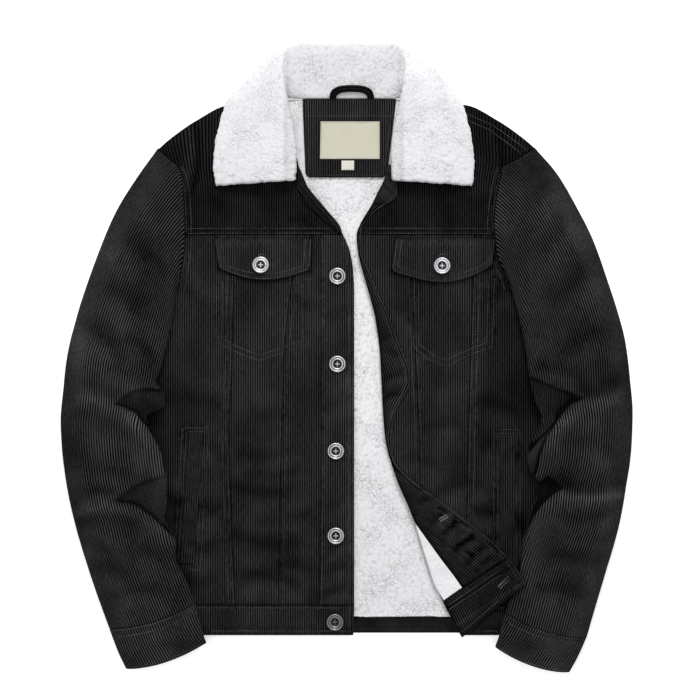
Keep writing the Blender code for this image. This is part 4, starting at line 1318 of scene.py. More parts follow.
# %% Flaps and welts
def add_flap(side, table, rows):
    """A pocket flap: upright wales between two sides, and a lower edge that comes to a point."""
    top_inner, top_outer, low_inner, low_outer, inner_y, outer_y, point_y = table
    top_y = YOKE_Y - 5.0
    edge = EDGE_STEPS / 40.0
    share = np.concatenate((edge, np.linspace(0.07, 0.93, 13), 1 - edge[::-1]))[:, None]
    sides = np.sort(np.stack((mix(low_inner, top_inner, share), mix(low_outer, top_outer, share))),
                    axis=0)[:, :, 0]
    x = with_edges(wale_columns(sides[0].min(), sides[1].max()), sides[0], sides[1])
    left, right = sides[0][:, None], sides[1][:, None]
    x = np.concatenate((x, mix(left, right, np.linspace(1, 0, 9))), axis=1)
    over = (x - left) / (right - left)
    low = mix(outer_y, inner_y, over) if low_outer < low_inner else mix(inner_y, outer_y, over)
    low = mix(low, point_y, to_point(over))
    low = low + 5.0 * (1 - np.clip(np.minimum(over, 1 - over) / 0.05, 0, 1)) ** 2
    y = mix(low, top_y, share)
    count = x.shape[1] - 9
    top_x, top_y_rows = x[:, :count], y[:, :count]
    from_side = np.minimum(top_x - left, right - top_x)
    inside = np.minimum(from_side, np.minimum(top_y_rows - low[:, :count], top_y - top_y_rows))
    z = on_front(x, y)
    relief = RIB * (rib(top_x) - 1) - dip_along(top_x, top_y_rows, rows)
    relief = relief + 0.5 * soft_noise(top_x, top_y_rows, 19.0, 27)
    z[:, :count] += SHELL * mix(0.5, 1.0, rounded(inside)) + relief * ease(inside / EDGE_FADE)
    points = np.stack((x, y, z), axis=2)
    points = closed(points)
    hem = bell(inside - 4.6, 4.4)
    gritty = hem * (0.6 + 1.0 * soft_noise(top_x * 2, top_y_rows, 3.4, 29))
    tone = fold_light_and_shade(relief - RIB * (rib(top_x) - 1), inside, 0.08 + 0.28 * gritty)
    worn = np.maximum(0.7 * hem, 0.6 * rubbed(top_x, top_y_rows, 91))
    made = cloth(side + "_flap_cloth", points, points[:, :, :2], tone, worn)
    sew_in(made, BLACK_CORDUROY, [side + "_flap"])


def welt_relief(x, y, _):
    return 0.4 * soft_noise(x, y, 15.0, 29)


def welt_wear(x, y, _):
    return 0.0 * x, 0.8 * rubbed(x, y, 81, -0.1)


def add_welt(side, top_x, top_y, low_x, low_y, width):
    outer = np.linspace((top_x, top_y), (low_x, low_y), 66)
    add_strip(side + "_welt", BLACK_CORDUROY, "corduroy", [side + "_side_panel_cloth"],
              (outer, outer + (width, 0.0)), on_front, 0.75 * SHELL, welt_relief, held="laid",
              nap=lambda top: 0.44 + 0.1 * soft_noise(top[:, :, 0], top[:, :, 1], 9.0, 39),
              fold=2.5, fold_wall=0.2, wear=welt_wear)


for side, table in (("right", RIGHT_FLAP), ("left", LEFT_FLAP)):
    add_flap(side, table, STITCHES[side + "_flap"])
for side, table in (("right", RIGHT_WELT), ("left", LEFT_WELT)):
    add_welt(side, *table)

# %% [markdown]
# ## Sleeves and cuffs
#
# A sleeve is a soft tube lying flat, with a wall of its own and open at both ends. Its sections
# are read smoothly from the table, its head follows the armhole and its foot the cuff. The wales
# keep a constant distance from the outer edge, so the columns are placed by the length measured
# over the cloth, and the inner side cuts them off, as the cut of a sleeve does. The lower half
# lies on the table and on the body's side, and needs few points.

# %% The tube maker
CAP_BOW, CUFF_BOW = (1.0, 0.8, 0.5, 0.2), 7.0
SLEEVE_WALE, HEAD_LIFT, TUCK = 3.2, 2.4, 3.2
SLEEVE_ROWS, CUFF_ROWS, INSIDE_ROWS, READ_ROWS, FINE_TURNS = 200, 28, 24, 400, 240


def ring_places(sections, turn, armhole, wall=0.0, flat=1.0):
    """Places on a tube: sections are rows of x, y, x, y, height, two bows and a lift."""
    outer, inner, height = sections[:, 0:2], sections[:, 2:4], sections[:, 4][:, None]
    across = 0.5 - 0.5 * signed_power(np.cos(turn), 0.85)
    length = np.linalg.norm(outer - inner, axis=1)[:, None]
    across = mix(wall / length, 1 - wall / length, across)
    x = mix(inner[:, :1], outer[:, :1], across)
    y = mix(inner[:, 1:], outer[:, 1:], across)
    if armhole is not None:
        head_y = mix(sections[0, 3], sections[0, 1], across)
        head_x = mix(sections[0, 2], sections[0, 0], across)
        outwards = math.copysign(ARMHOLE_GAP, sections[0, 0])
        x = x + (armhole(head_y) + outwards - head_x) * sections[:, 5:6]
    y = y - CUFF_BOW * 4 * across * (1 - across) * sections[:, 6:7]
    low = np.maximum(sleeve_floor(x, y), sections[:, 7:8])
    high = np.maximum(height + 0.35 * low, low + FLATTEST)
    low, high = low + wall, high - wall
    high = mix(low, high, flat)
    power = np.where(np.sin(turn) > 0, 0.85, 0.4)
    rise = 0.5 + 0.5 * signed_power(np.sin(turn), power)
    return np.stack((x, y, mix(low, high, rise)), axis=2)


def read_sections(table, count, bows):
    rows = np.arange(len(table))
    at = np.linspace(0, len(table) - 1, READ_ROWS)
    columns = read_columns(table, at, 5)
    middles = (columns[:, 0:2] + columns[:, 2:4]) / 2
    run = run_of(middles)
    edge = np.array((0.0, 0.4, 1.1, 2.0, 2.6))
    lengths = np.concatenate((edge, np.linspace(4, run[-1] - 4, count), run[-1] - edge[::-1]))
    at = np.interp(lengths, run, at)
    first, last = bows
    lift = HEAD_LIFT * first[0] * ease((6.0 - lengths) / 4.0)
    bowed = smooth(rows, first, at), smooth(rows, last, at)
    return np.column_stack((read_columns(table, at, 5), *bowed, lift)), lengths


UNDER_TONE = 0.42
UNDER_WORN = 0.9


def tube(table, count, bows, armhole, wall, relief, pitch=SLEEVE_WALE, under=22, flat=1.0,
         tuck=0.0):
    """The points of an open tube with a wall: outside, round the end, inside and back."""
    sections, lengths = read_sections(table, count, bows)
    tucked = (tuck * (1 - ease((lengths - 1.7) / 0.9)))[:, None]
    fine = np.linspace(math.pi, 0, FINE_TURNS)[None, :] + 0 * sections[:, :1]
    dense = ring_places(sections, fine, armhole)
    tangent = np.gradient(dense[:, 0], axis=0)
    tangent[:, 2] = 0
    tangent /= np.linalg.norm(tangent, axis=1, keepdims=True)
    padded = np.pad(tangent, ((4, 4), (0, 0)), mode="edge")
    tangent = np.column_stack([np.convolve(column, np.ones(9) / 9, "valid")
                               for column in padded.T])
    step = np.diff(dense, axis=1)
    aside = step - (step * tangent[:, None, :]).sum(axis=2, keepdims=True) * tangent[:, None, :]
    away = np.concatenate((np.zeros((len(step), 1)),
                           np.cumsum(np.linalg.norm(aside, axis=2), axis=1)), axis=1)
    reach = away[:, -1]
    places = with_edges(wale_columns(0, reach.max(), pitch), 0 * reach, reach)
    turn = np.stack([np.interp(row, have, angle)
                     for row, have, angle in zip(places, away, fine)])
    below = np.linspace(2 * math.pi, math.pi, under + 2)[None, :-1] + 0 * sections[:, :1]
    turn = np.concatenate((turn, below), axis=1)
    outside = ring_places(sections, turn, armhole, tucked)
    beneath = np.concatenate((outside[:, places.shape[1]:], outside[:, :1]), axis=1)
    back = np.cumsum(np.linalg.norm(np.diff(beneath, axis=1), axis=2), axis=1)
    grain_across = np.concatenate((places, 0 * reach[:, None], back), axis=1)
    grain = np.stack((grain_across, lengths[:, None] + 0 * grain_across), axis=2)
    out = normals_of(outside)
    count_top = places.shape[1]
    out = out * np.sign(out[:, 8:count_top - 8, 2].mean())
    edge = np.minimum(places, reach[:, None] - places)
    lifted, tone, worn = relief(outside[:, :count_top, 0], outside[:, :count_top, 1], places,
                                edge)
    lifted = lifted + 1.2 * RIB * (rib(places, pitch) - 1) * (1 - 0.7 * worn)
    ends = np.minimum(lengths, lengths[-1] - lengths)[:, None]
    lifted = lifted * ease(edge / EDGE_FADE) * ease((ends - 0.4) / 2.5)
    outside[:, :count_top] += out[:, :count_top] * lifted[:, :, None]
    shrink = (1 - rounded(ends, 1.6)) * wall * 0.5
    outside[:, :, 2] -= out[:, :, 2] * shrink
    outside[:, :, 2] = np.maximum(outside[:, :, 2], sleeve_floor(outside[:, :, 0],
                                                                outside[:, :, 1]))
    for column in range(1, count_top):
        same = places[:, column] - places[:, column - 1] < 1e-9
        outside[same, column] = outside[same, column - 1]
    coarse = np.unique(np.linspace(0, len(sections) - 1, INSIDE_ROWS).astype(int))[::-1]
    inside = ring_places(sections[coarse], turn[coarse], armhole, wall + tucked[coarse], flat)
    points = np.concatenate((outside, inside, outside[:1]), axis=0)
    grain = np.concatenate((grain, grain[coarse], grain[:1]), axis=0)
    points = closed(points)
    tone = np.concatenate((tone, 0 * below + UNDER_TONE), axis=1)
    worn = np.concatenate((worn, 0 * below + UNDER_WORN), axis=1)
    return points, grain, outside[:, :count_top], tone, worn


def add_tube(node_name, rests_on, *cut, **details):
    points, grain, top, tone, worn = tube(*cut, **details)
    made = cloth(node_name + "_cloth", points, grain, tone, worn, close=False)
    sew_in(made, SLEEVE_CORDUROY, [node_name])


print("tube maker ready")

# %% Tucks and creases in the sleeves
# each tuck: the edge of the cloth above it, the edge of the fold below, how deep it is, how
# much lighter its pocket is painted (below 0 for painted shade), and how far the pocket's wales
# are pressed flat
RIGHT_TUCKS = (
    (((-290, -59), (-268, -44), (-250, -40), (-228, -40), (-210, -42)),
     ((-290, -59), (-274, -66), (-260, -74), (-246, -90), (-238, -105), (-230, -122),
      (-225, -145)),
     7.0, -0.2, 0.6),
    (((-290, -180), (-262, -160), (-235, -150), (-218, -147)),
     ((-290, -180), (-270, -183), (-256, -190), (-243, -199), (-225, -215), (-206, -234)),
     5.0, -0.06, 0.95))
LEFT_TUCKS = (
    (((296, -53), (262, -40), (233, -28), (215, -22)),
     ((296, -53), (278, -60), (262, -78), (250, -90), (238, -103), (220, -124)),
     6.5, -0.16, 0.35),
    (((272, -66), (260, -76), (244, -92), (226, -108), (212, -120)),
     ((272, -66), (261, -82), (248, -100), (239, -124), (236, -142), (226, -166)),
     2.2, -0.1, 0.9),
    (((270, -165), (262, -157), (250, -149), (237, -158), (222, -166)),
     ((270, -165), (255, -172), (242, -183), (232, -197), (225, -212), (218, -230), (208, -255)),
     7.0, -0.3, 0.8))
RIGHT_SLEEVE_CREASES = (
    (-336, -52, -284, -70, 10, -2.8), (-284, -70, -246, -108, 8, -2.2),
    (-338, -196, -262, -198, 8, -2.6),
    (-330, -172, -288, -170, 8, 2.4), (-268, -106, -252, -148, 9, -1.2),
    (-320, -140, -270, -150, 10, 1.6), (-330, 40, -276, -4, 13, 2.0),
    (-300, 90, -250, 50, 14, 1.8),
    (-276, 150, -236, 104, 14, 1.8), (-256, 216, -228, 168, 12, 1.4),
    (-318, -262, -268, -276, 10, 1.8),
    (-296, -300, -230, -290, 9, 1.6), (-276, 26, -234, -14, 9, 2.0),
    (-336, -232, -296, -244, 9, 1.5),
    (-300, -14, -252, -30, 9, 1.6), (-262, -236, -222, -262, 8, 1.4))
LEFT_SLEEVE_CREASES = (
    (346, -46, 292, -62, 9, -3.0), (292, -62, 264, -86, 7, -2.2), (346, -172, 262, -172, 7, -3.4),
    (330, -192, 262, -198, 9, 2.2), (252, -110, 262, -146, 8, -1.4),
    (252, 60, 306, 110, 13, 1.8), (240, 120, 276, 176, 14, 1.6), (232, 176, 252, 220, 12, 1.4),
    (262, -2, 326, 34, 12, 2.0), (250, -250, 318, -262, 10, 1.6), (236, -290, 300, -300, 9, 1.6),
    (236, -12, 290, -28, 9, 1.8), (318, -236, 338, -222, 8, 1.1), (270, -108, 330, -116, 12, 1.4))


def from_path(x, y, path):
    """How far each place lies above a path, and how far along the path it is, from 0 to 1."""
    path = np.array(path, float)
    outwards = math.copysign(1.0, path[0, 0] - path[-1, 0])
    runs = np.hypot(*np.diff(path, axis=0).T)
    before = np.concatenate(([0.0], np.cumsum(runs)))
    best = np.full(np.shape(x), 1e9)
    above, share = np.zeros(np.shape(x)), np.zeros(np.shape(x))
    for start, end, length, run in zip(path[:-1], path[1:], runs, before):
        step = (end - start) / length
        held = np.clip((x - start[0]) * step[0] + (y - start[1]) * step[1], 0, length)
        off_x, off_y = x - start[0] - step[0] * held, y - start[1] - step[1] * held
        away = np.hypot(off_x, off_y)
        turn = -outwards * np.sign(step[0] * off_y - step[1] * off_x)
        nearer = away < best
        best = np.where(nearer, away, best)
        above = np.where(nearer, away * turn, above)
        share = np.where(nearer, (run + held) / before[-1], share)
    return above, share


def tuck(x, y, upper, lower, depth, shade, pressed):
    """Cloth folded over itself: a pocket between two edges that part from one point, with painted
    light on the fold's lobe and painted shade in the pocket.
    """
    over, share = from_path(x, y, lower)
    under = -from_path(x, y, upper)[0]
    grown = ease(share / 0.3)
    pocket = ease((over + 1.2) / 2.4) * ease((under + 1.2) / 2.4)
    below = np.maximum(-over, 0)
    lobe = grown * bell(below - 7.0, 9.0) * ease((-over + 0.5) / 2.0)
    crevice_shade = bell(np.maximum(over, 0), 3.5) + 0.5 * bell(np.maximum(under, 0), 4)
    lifted = 0.3 * depth * lobe - depth * pocket * grown * (0.5 + 0.5 * bell(over, 14))
    # painted light on the lobe below the fold, and painted shade in the pocket and along its
    # crevices
    lighter = 0.16 * lobe + pocket * (shade * ease(share / 0.1) - 0.38 * crevice_shade)
    return lifted, lighter, pressed * pocket


def sleeve_relief(tucks, table, seed):
    def relief(x, y, away, edge):
        slack = 0.8 * soft_noise(x, y, 38.0, 41) + 0.35 * soft_noise(x, y, 14.0, 42)
        lifted = (slack + creases(x, y, table)) * ease(edge / 16.0)
        # painted light where the cloth is raised and painted shade where it sinks, over a slow
        # random tone
        tone = 0.4 + 0.09 * lifted + 0.1 * soft_noise(x, y, 60.0, 46)
        strip = 1 - ease((away - 26.0) / 12.0)
        patches = mix(0.35, 0.65, ease((-150 - y) / 80)) * rubbed(x, y, seed)
        worn = np.maximum(0.85 * strip, patches)
        # the outer strip is brushed flat, and painted a little lighter as a painted sheen where
        # the sleeve rounds away
        tone = tone + strip * (0.02 + 0.1 * soft_noise(x, y, 40.0, 47))
        for upper, lower, depth, shade, pressed in tucks:
            more, lighter, flat = tuck(x, y, upper, lower, depth, shade, pressed)
            lifted = lifted + more * ease(edge / 5.0)
            tone = tone + lighter
            worn = np.maximum(worn, flat)
        # painted shade along the sleeve's edges, where the cloth rounds away
        tone = tone - 0.25 * bell(edge, 1.2)
        return lifted, np.clip(tone, 0.05, 1.0), worn
    return relief


def cuff_relief(x, y, away, edge):
    lifted = 0.5 * soft_noise(x, y, 14.0, 44) * ease(edge / 8.0)
    worn = np.maximum(0.8 * bell(away, 10.0), 0.7 * rubbed(x, y, 89))
    # painted light where the cloth is raised and painted shade where it sinks
    return lifted, 0.46 + 0.12 * lifted, worn


def sleeve_bows(rows):
    """How far each section follows the armhole, and how far the cuff's bow."""
    first, last = np.zeros(rows), np.zeros(rows)
    first[:len(CAP_BOW)] = CAP_BOW
    last[-1] = 1.0
    return first, last


for side, table, armhole, tucks, laid, seed in (
        ("right", RIGHT_SLEEVE, right_side, RIGHT_TUCKS, RIGHT_SLEEVE_CREASES, 83),
        ("left", LEFT_SLEEVE, left_side, LEFT_TUCKS, LEFT_SLEEVE_CREASES, 87)):
    add_tube(f"{side}_sleeve", [f"{side}_side_panel_cloth"], table, SLEEVE_ROWS,
             sleeve_bows(len(table)), armhole, SLEEVE_WALL, sleeve_relief(tucks, laid, seed),
             flat=0.3)
for side, table in (("right", RIGHT_CUFF), ("left", LEFT_CUFF)):
    add_tube(f"{side}_cuff", [], table, CUFF_ROWS, (np.zeros(3), np.ones(3)), None, CUFF_WALL,
             cuff_relief, tuck=TUCK)

# %% [markdown]
# ## The collar
#
# The collar is one thick strip of pile. It stands up from the neck seam, rolls over and falls
# onto the yokes, and at the back it lies folded flat behind the neck. Its sections are smooth
# curves through the points of the table, read by their length, so the curls of the pile are
# equally large everywhere. The curls are raised along the surface's own direction outwards.

# %% Collar sections
def between(table, steps):
    """Rows of a table with smooth ones between them, passing through every row."""
    ends = np.concatenate(([2 * table[0] - table[1]], table, [2 * table[-1] - table[-2]]))
    at = np.linspace(0, len(table) - 1, steps)
    span = np.minimum(at.astype(int), len(table) - 2)
    share = (at - span).reshape((-1,) + (1,) * (table.ndim - 1))
    before, start, end, after = (ends[span + index] for index in range(4))
    return 0.5 * (2 * start + (end - before) * share
                  + (2 * before - 5 * start + 4 * end - after) * share ** 2
                  + (3 * start - before - 3 * end + after) * share ** 3)


def unit(vectors):
    return vectors / np.maximum(np.linalg.norm(vectors, axis=-1, keepdims=True), 1e-9)


def collar_knots(rows):
    """The points each section passes: seam, stand, round the roll, outermost and free edge."""
    seam_point, roll, out, free = (rows[:, at:at + 3] for at in (0, 4, 7, 10))
    stand = (seam_point + roll) / 2
    stand[:, 2] += rows[:, 3]
    nose = unit(roll - (stand + out) / 2)
    turn = unit(out - stand)
    turn = unit(turn - nose * (turn * nose).sum(axis=1, keepdims=True))
    bend = roll - nose * ROLL_RADIUS
    return np.stack((seam_point, stand, bend - turn * ROLL_RADIUS, roll,
                     bend + turn * ROLL_RADIUS, out, free), axis=0)


def even_run(lines, count):
    """Lines of points, each made evenly spaced along its own length."""
    steps = np.linalg.norm(np.diff(lines, axis=1), axis=2)
    run = np.concatenate((np.zeros((len(lines), 1)), np.cumsum(steps, axis=1)), axis=1)
    made = np.empty((len(lines), count, 3))
    for row, (line, have) in enumerate(zip(lines, run)):
        made[row] = read_line(line, have, np.linspace(0, have[-1], count))
    return made, run[:, -1]


# %% The collar's pile
MIRROR = np.array((-1, 1, 1, 1, -1, 1, 1, -1, 1, 1, -1, 1, 1), float)
COLLAR_ROWS, COLLAR_COLUMNS, COLLAR_UNDER, STAND_HALF = 392, 112, 26, 77.0
FINE_ROWS, FINE_STEPS = 900, 90
rows = between(np.concatenate((COLLAR * MIRROR, COLLAR[-2::-1])), FINE_ROWS)
lines = between(collar_knots(rows), FINE_STEPS).transpose(1, 0, 2)
lines, widths = even_run(lines, COLLAR_COLUMNS)
lines, lengths = even_run(lines.transpose(1, 0, 2), COLLAR_ROWS)
sheet = lines.transpose(1, 0, 2)
sheet[:, :, 0] += COLLAR_CENTRE_X
out = normals_of(sheet)
out = out * np.sign(out[:, COLLAR_COLUMNS * 3 // 4, 2].mean())
share_along = np.linspace(0, 1, COLLAR_ROWS)[:, None]
share_over = np.linspace(0, 1, COLLAR_COLUMNS)[None, :]
over = share_over * widths.mean()
along = share_along * lengths[COLLAR_COLUMNS * 2 // 3] + 0 * over
over = over + 0 * share_along
height, open_pile = curly(over, along, 70)
from_end = np.minimum(share_along, 1 - share_along) * lengths.mean()
from_free = (1 - share_over) * widths.mean()
half = COLLAR_WALL / 2 * mix(0.18, 1.0, rounded(from_end, 4.0))
half = half * mix(0.45, 1, rounded(from_free, 4.5)) * mix(0.1, 1.0, rounded(over, 7.0))
ruffle = 0.6 * soft_noise(along, over * 0, 3.1, 77) + 0.4 * soft_noise(along, over * 0, 7.9, 78)
ragged = unit(np.gradient(sheet, axis=1)) * (ruffle * np.exp(-from_free / 3.0))[:, :, None]
outer = sheet + out * (half + (height - 0.9) * mix(0.5, 1, rounded(from_free, 3)))[:, :, None]
outer += ragged
ends = unit(np.gradient(sheet, axis=0))
outwards = np.where(share_along < 0.5, -1.0, 1.0) * np.exp(-from_end / 3.0)
outer += ends * (outwards * 0.9 * (0.4 + soft_noise(over, along * 0, 3.3, 79)))[:, :, None]
pick = np.linspace(COLLAR_COLUMNS - 1, 0, COLLAR_UNDER + 1).round().astype(int)
below = (sheet - out * half[:, :, None])[:, pick] + ragged[:, pick]
points = np.concatenate((outer, below, outer[:, :1]), axis=1)
flat = np.stack((over, along), axis=2)
grain = np.concatenate((flat, flat[:, pick] + (200.0, 0.0), flat[:, :1]), axis=1)
# painted shade on the back of the collar between its two fold lines, darkest just inside them and
# fading out near its top edge
inwards = STAND_HALF - np.abs(sheet[:, :, 0] - COLLAR_CENTRE_X)
shaded = ease(inwards / 5) * (0.22 + 0.4 * bell(inwards, 9.0))
shaded = shaded * (1 - 0.7 * ease((sheet[:, :, 1] - 372) / 14))
open_pile = np.clip(open_pile - shaded, 0, 1)
nap = np.concatenate((open_pile, 0 * below[:, :, 0] + 0.8, open_pile[:, :1]), axis=1)
made = cloth("collar_pile", points, grain, nap)
sew_in(made, COLLAR_PILE, ["collar"])
print("collar:", round(widths.mean()), "mm wide,", round(lengths.mean()), "mm long")

# %% [markdown]
# ## Buttons
#
# The buttons are turned metal: a raised rim round a dished, darker face with four holes. Each
# is one profile spun about its axis, and the holes are in its finish. The two on the flaps are
# brighter, with a paler ring, and the lowest one is the dullest.

# %% Metal
BUTTON_RADIUS = 10.5 * MM
HOLE_PLACE, HOLE_RIM = (1.9 * MM, 1.9 * MM, 0), (1.0 * MM, 1.3 * MM)


def metal(name, rim, dish, middle, groove):
    """Worn metal whose tone changes from the middle to the rim."""
    material, tree, shader = new_material(name)
    place, flat = object_place(tree), uv_map(tree, "Face")
    out = node(tree, "ShaderNodeVectorMath", {0: flat}, operation="LENGTH").outputs["Value"]
    ramp = node(tree, "ShaderNodeValToRGB", {0: between_limits(tree, out, 0.0, BUTTON_RADIUS)})
    steps = ramp.color_ramp
    steps.elements[0].color = middle
    steps.elements[1].color = rim
    for at, colour in ((0.22, middle), (0.32, dish), (0.48, dish), (0.56, rim), (0.66, rim),
                       (0.71, groove), (0.76, groove), (0.83, rim)):
        steps.elements.new(at).color = colour
    cloudy = noise_node(tree, place, 700.0, 4.0)
    worn = between_limits(tree, cloudy, 0.3, 0.7, 0.55, 1.0)
    shade = blend_colour(tree, worn, (0, 0, 0, 1), ramp.outputs[0])
    folded = node(tree, "ShaderNodeVectorMath", {0: flat}, operation="ABSOLUTE").outputs[0]
    to_hole = node(tree, "ShaderNodeVectorMath", {0: folded, 1: HOLE_PLACE},
                   operation="DISTANCE").outputs["Value"]
    hole = between_limits(tree, to_hole, *HOLE_RIM)
    dark = blend_colour(tree, hole, (0.004, 0.004, 0.004, 1), shade)
    finish(tree, shader, dark, hole, 1.0, 0.0006, Metallic=0.85)
    rough = between_limits(tree, cloudy, 0.3, 0.7, 0.5, 0.32)
    tree.links.new(rough, shader.inputs["Roughness"])
    return material


def grey(value):
    return value, value, value * 1.02, 1


FRONT_METAL = metal("front_button_metal", grey(0.74), grey(0.02), grey(0.42), grey(0.06))
FLAP_METAL = metal("flap_button_metal", grey(0.9), grey(0.04), grey(0.6), grey(0.4))
DULL_METAL = metal("dull_button_metal", grey(0.3), grey(0.03), grey(0.12), grey(0.05))

# %% Turned buttons
BUTTON_PROFILE = (
    (0.0, 1.9), (1.6, 1.8), (3.6, 1.6), (4.9, 1.7), (5.5, 2.2), (6.0, 2.7), (6.7, 2.8),
    (7.2, 2.5), (7.7, 2.4), (8.2, 2.7), (8.7, 3.2), (9.2, 3.4), (9.8, 3.2), (10.2, 2.7),
    (10.45, 2.0), (10.5, 1.3), (10.1, 0.6), (9.2, 0.1), (8.0, 0.0), (0.0, 0.0))


def turned(profile, segments=64):
    bm = bmesh.new()
    verts = [bm.verts.new((out * MM, 0.0, up * MM)) for out, up in profile]
    edges = [bm.edges.new(pair) for pair in zip(verts, verts[1:])]
    bmesh.ops.spin(bm, geom=verts + edges, axis=(0, 0, 1), cent=(0, 0, 0), steps=segments,
                   angle=2 * math.pi, use_merge=True)
    bmesh.ops.remove_doubles(bm, verts=bm.verts, dist=0.000001)
    bmesh.ops.recalc_face_normals(bm, faces=bm.faces)
    return bm


def add_button(node_name, material):
    """A button where its plain one sits; its map Face says how far a point is from its middle."""
    low, high = (Vector(corner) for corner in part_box(node_name))
    mesh = to_mesh(turned(BUTTON_PROFILE), node_name + "_turned")
    face = mesh.uv_layers.new(name="Face")
    for corner in mesh.loops:
        face.data[corner.index].uv = mesh.vertices[corner.vertex_index].co.xy
    middle = (low + high) / 2
    mesh.transform(Matrix.Translation((middle.x, middle.y, low.z)))
    made = add_object(mesh.name, mesh)
    made.data.materials.append(material)
    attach(made, "root")
    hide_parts(node_name)


for number in range(1, 5):
    add_button(f"button_{number}", FRONT_METAL)
add_button("button_5", DULL_METAL)
add_button("right_flap_button", FLAP_METAL)
add_button("left_flap_button", FLAP_METAL)
print("buttons made")

# %% [markdown]
# ## Thread
#
# Each stitch is a short, thick thread that dives into the cloth at both ends. They are all
# copies of one small capsule, and each is laid at the height where a ray from above meets the
# piece it holds; where a flap or the collar covers the row there is no hit and no stitch. The
# buttonholes are the same stitch set close together on both sides of a slit.

# %% The needle
STITCH, PITCH, THREAD = 2.3, 3.1, 0.3
sorted_parts = list(body_parts.values())
grid_points, grid_faces, owner = [], [], []
for made in sorted_parts:
    count = len(made.data.vertices)
    place = np.empty(count * 3, np.float32)
    made.data.vertices.foreach_get("co", place)
    base = sum(len(part) for part in grid_points)
    grid_points.append(place.reshape(-1, 3))
    grid_faces += [[base + index for index in face.vertices] for face in made.data.polygons]
    owner += [made.name] * len(made.data.polygons)
above = BVHTree.FromPolygons(np.concatenate(grid_points).tolist(), grid_faces)


def height_at(x, y, pieces):
    """The height of the top piece there, in millimetres, if it is one of these."""
    hit, _, face, _ = above.ray_cast(Vector((x * MM, y * MM, 0.2)), Vector((0, 0, -1)))
    if hit is None or owner[face] not in pieces:
        return None
    return hit.z / MM


def capsule(length, radius):
    bm = bmesh.new()
    bmesh.ops.create_uvsphere(bm, u_segments=6, v_segments=4, radius=0.5,
                              matrix=Matrix.Rotation(math.pi / 2, 4, "Y"))
    bmesh.ops.scale(bm, vec=Vector((length * MM, 2 * radius * MM, 2 * radius * MM)),
                    verts=bm.verts)
    return to_mesh(bm, "stitch")


def stitch_places(path, pieces, pitch, length):
    """Where each stitch of a row goes: its two ends, on the cloth."""
    path = resampled(path, pitch)
    places = []
    for start, end in zip(path[:-1], path[1:]):
        run = (end - start) * (length / pitch)
        ends = [(*at, height_at(*at, pieces)) for at in (start, start + run)]
        if None in (ends[0][2], ends[1][2]) or abs(ends[0][2] - ends[1][2]) > 1.2:
            continue
        places.append(ends)
    return places


def sew(name, rows, pieces, material, pitch=PITCH, length=STITCH, radius=THREAD):
    """One joined object with all the stitches of some rows."""
    stitch = capsule(length, radius)
    plain = np.empty(len(stitch.vertices) * 3, np.float32)
    stitch.vertices.foreach_get("co", plain)
    bm = bmesh.new()
    for row in rows:
        for start, end in stitch_places(np.asarray(row, float), pieces, pitch, length):
            run = Vector(end) - Vector(start)
            turn = run.to_track_quat("X", "Z").to_matrix().to_4x4()
            middle = (Vector(start) + Vector(end)) / 2 + Vector((0, 0, 0.2))
            stitch.transform(Matrix.Translation(middle * MM) @ turn)
            bm.from_mesh(stitch)
            stitch.vertices.foreach_set("co", plain)
    made = add_object(name, to_mesh(bm, name))
    made.data.materials.append(material)
    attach(made, "root")


print("faces under the needle:", len(owner))


# %% Rows of stitches
def thread(name, colour):
    material, tree, shader = new_material(name)
    place = object_place(tree)
    twist = noise_node(tree, place, 900.0)
    tight = between_limits(tree, noise_node(tree, place, 20.0, 3.0), 0.38, 0.64, 0.2, 1.3)
    shade = blend_colour(tree, math_node(tree, "MULTIPLY", twist, tight), (0, 0, 0, 1), colour)
    tree.links.new(shade, shader.inputs["Base Color"])
    set_plain(shader, Roughness=0.55)
    return material


BLACK_THREAD = thread("black_thread", (0.22, 0.22, 0.225, 1))
PALE_THREAD = thread("pale_thread", (0.55, 0.53, 0.45, 1))
HOLE_THREAD = thread("buttonhole_thread", (0.34, 0.34, 0.345, 1))


def cuff_rows(table):
    """Rows round a cuff: two near its seam and one near its edge."""
    over = np.linspace(0.06, 0.94, 40)
    bow = CUFF_BOW * 4 * over * (1 - over)
    made = []
    for share in (0.05, 0.17, 0.93):
        row = [np.interp(share * 2, range(3), table[:, index]) for index in range(4)]
        made.append(np.column_stack((mix(row[2], row[0], over), mix(row[3], row[1], over) - bow)))
    return made


def inside_edge(table, away):
    start, free = table_lines(table, 60)
    return free + (start - free) / np.linalg.norm(start - free, axis=1)[:, None] * away


def buttonhole(middle, towards, length):
    """The short cross stitches on both sides of a slit."""
    towards = np.array(towards, float) / math.hypot(*towards)
    aside = np.array((-towards[1], towards[0]))
    rows = []
    for step in np.arange(-length / 2, length / 2, 0.75):
        at = np.array(middle) + towards * step
        rows += [np.array((at + aside * 0.5, at + aside * 2.7)),
                 np.array((at - aside * 0.5, at - aside * 2.7))]
    return rows


def cloths(side, *names):
    return {f"{side}_{name}_cloth" for name in names}


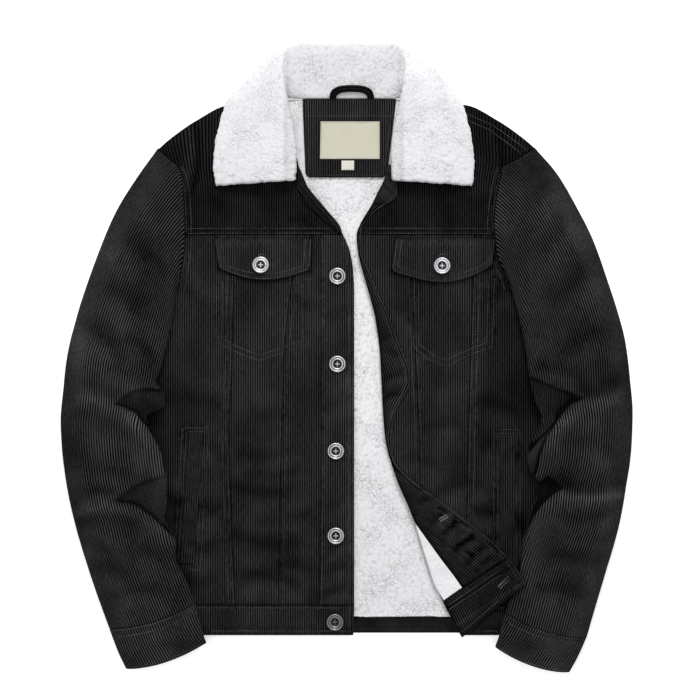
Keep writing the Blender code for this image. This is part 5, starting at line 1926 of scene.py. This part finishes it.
PANELS = ("yoke", "side_panel", "centre_panel", "front_panel", "welt")
FLAPS = cloths("right", "flap") | cloths("left", "flap")
TURNED_PIECES = cloths("left", "turned_band", "facing")
for name, rows, pieces in (
        ("right_front", STITCHES["right_front"], cloths("right", "placket", *PANELS)),
        ("left_front", STITCHES["left_front"], cloths("left", *PANELS)),
        ("right_band", STITCHES["right_band"], cloths("right", "waistband")),
        ("left_band", STITCHES["left_band"], cloths("left", "waistband")),
        ("flap", STITCHES["right_flap"] + STITCHES["left_flap"], FLAPS),
        ("turned", STITCHES["turned_band"] + [inside_edge(FACING, 5.0)], TURNED_PIECES),
        ("cuff", cuff_rows(RIGHT_CUFF) + cuff_rows(LEFT_CUFF),
         cloths("right", "cuff") | cloths("left", "cuff")),
        ("patch", STITCHES["patch"], cloths("neck", "patch"))):
    sew(name + "_stitches", rows, pieces, BLACK_THREAD)
SHANKS = [
    straight((-110.5, 125.5), (-109, 127.5), (-106, 127.5), (-103.5, 125), (-103, 122.5)),
    straight((115.5, 124.5), (117, 127), (120, 127.5), (123, 126), (124, 123.5))]
sew("shank_stitches", SHANKS, FLAPS, PALE_THREAD, 1.6, 1.7, 0.35)
sew("label_stitches", STITCHES["label"], cloths("main", "label"), PALE_THREAD, 2.4, 1.8, 0.2)
HOLES = buttonhole((121, -202.5), (0.86, 0.5), 11.0) + buttonhole((196, -282), (0.66, 0.75), 18.0)
sew("buttonhole_stitches", HOLES, TURNED_PIECES, HOLE_THREAD, 1.9, 2.2, 0.4)

# %% [markdown]
# ## The table and the light
#
# The jacket is laid on a plain white table and lit from above and a little from the upper left,
# by wide soft lights, so that every fold has a gentle shadow and no hard one. The camera looks
# straight down from high up, with a long lens, as for a catalogue.

# %% Table, lights and camera
# the lens and its sensor in millimetres; the height and the width that fill the view in metres
LENS, SENSOR, CLOTH_TOP, SEEN_WIDTH = 90.0, 36.0, 0.02, 0.875
scene = bpy.context.scene
bm = bmesh.new()
bmesh.ops.create_grid(bm, x_segments=1, y_segments=1, size=3.0)
mesh = to_mesh(bm, "table")
table = bpy.data.objects.new("table", mesh)
table.location = (0, 0, -0.0005)
scene.collection.objects.link(table)
material, tree, shader = new_material("table_paint")
set_plain(shader, Base_Color=(0.93, 0.93, 0.93, 1), Roughness=0.95, Specular_IOR_Level=0.1,
          Emission_Color=(1, 1, 1, 1), Emission_Strength=0.5)
mesh.materials.append(material)


def soft_light(name, place, size, power, aim=(0.0, 0.0, 0.0)):
    light = bpy.data.lights.new(name, "AREA")
    light.shape = "SQUARE"
    light.size = size
    light.energy = power
    made = bpy.data.objects.new(name, light)
    made.location = place
    made.rotation_euler = (Vector(aim) - Vector(place)).to_track_quat("-Z", "Y").to_euler()
    scene.collection.objects.link(made)


soft_light("key_light", (0.25, 2.3, 1.9), 0.9, 60.0)
soft_light("fill_light", (-1.6, -1.0, 2.2), 2.2, 12.0)
soft_light("top_light", (0.0, 0.2, 3.2), 2.4, 22.0)
world = bpy.data.worlds.new("studio")
world.use_nodes = True
world.node_tree.nodes["Background"].inputs[0].default_value = (0.9, 0.92, 0.95, 1)
world.node_tree.nodes["Background"].inputs[1].default_value = 0.45
scene.world = world
lens = bpy.data.cameras.new("camera")
lens.lens = LENS
lens.clip_end = 20.0
camera = bpy.data.objects.new("camera", lens)
camera.location = (0.00375, 0.0075, CLOTH_TOP + SEEN_WIDTH * LENS / SENSOR)
scene.collection.objects.link(camera)
scene.camera = camera
scene.view_settings.view_transform = "Standard"
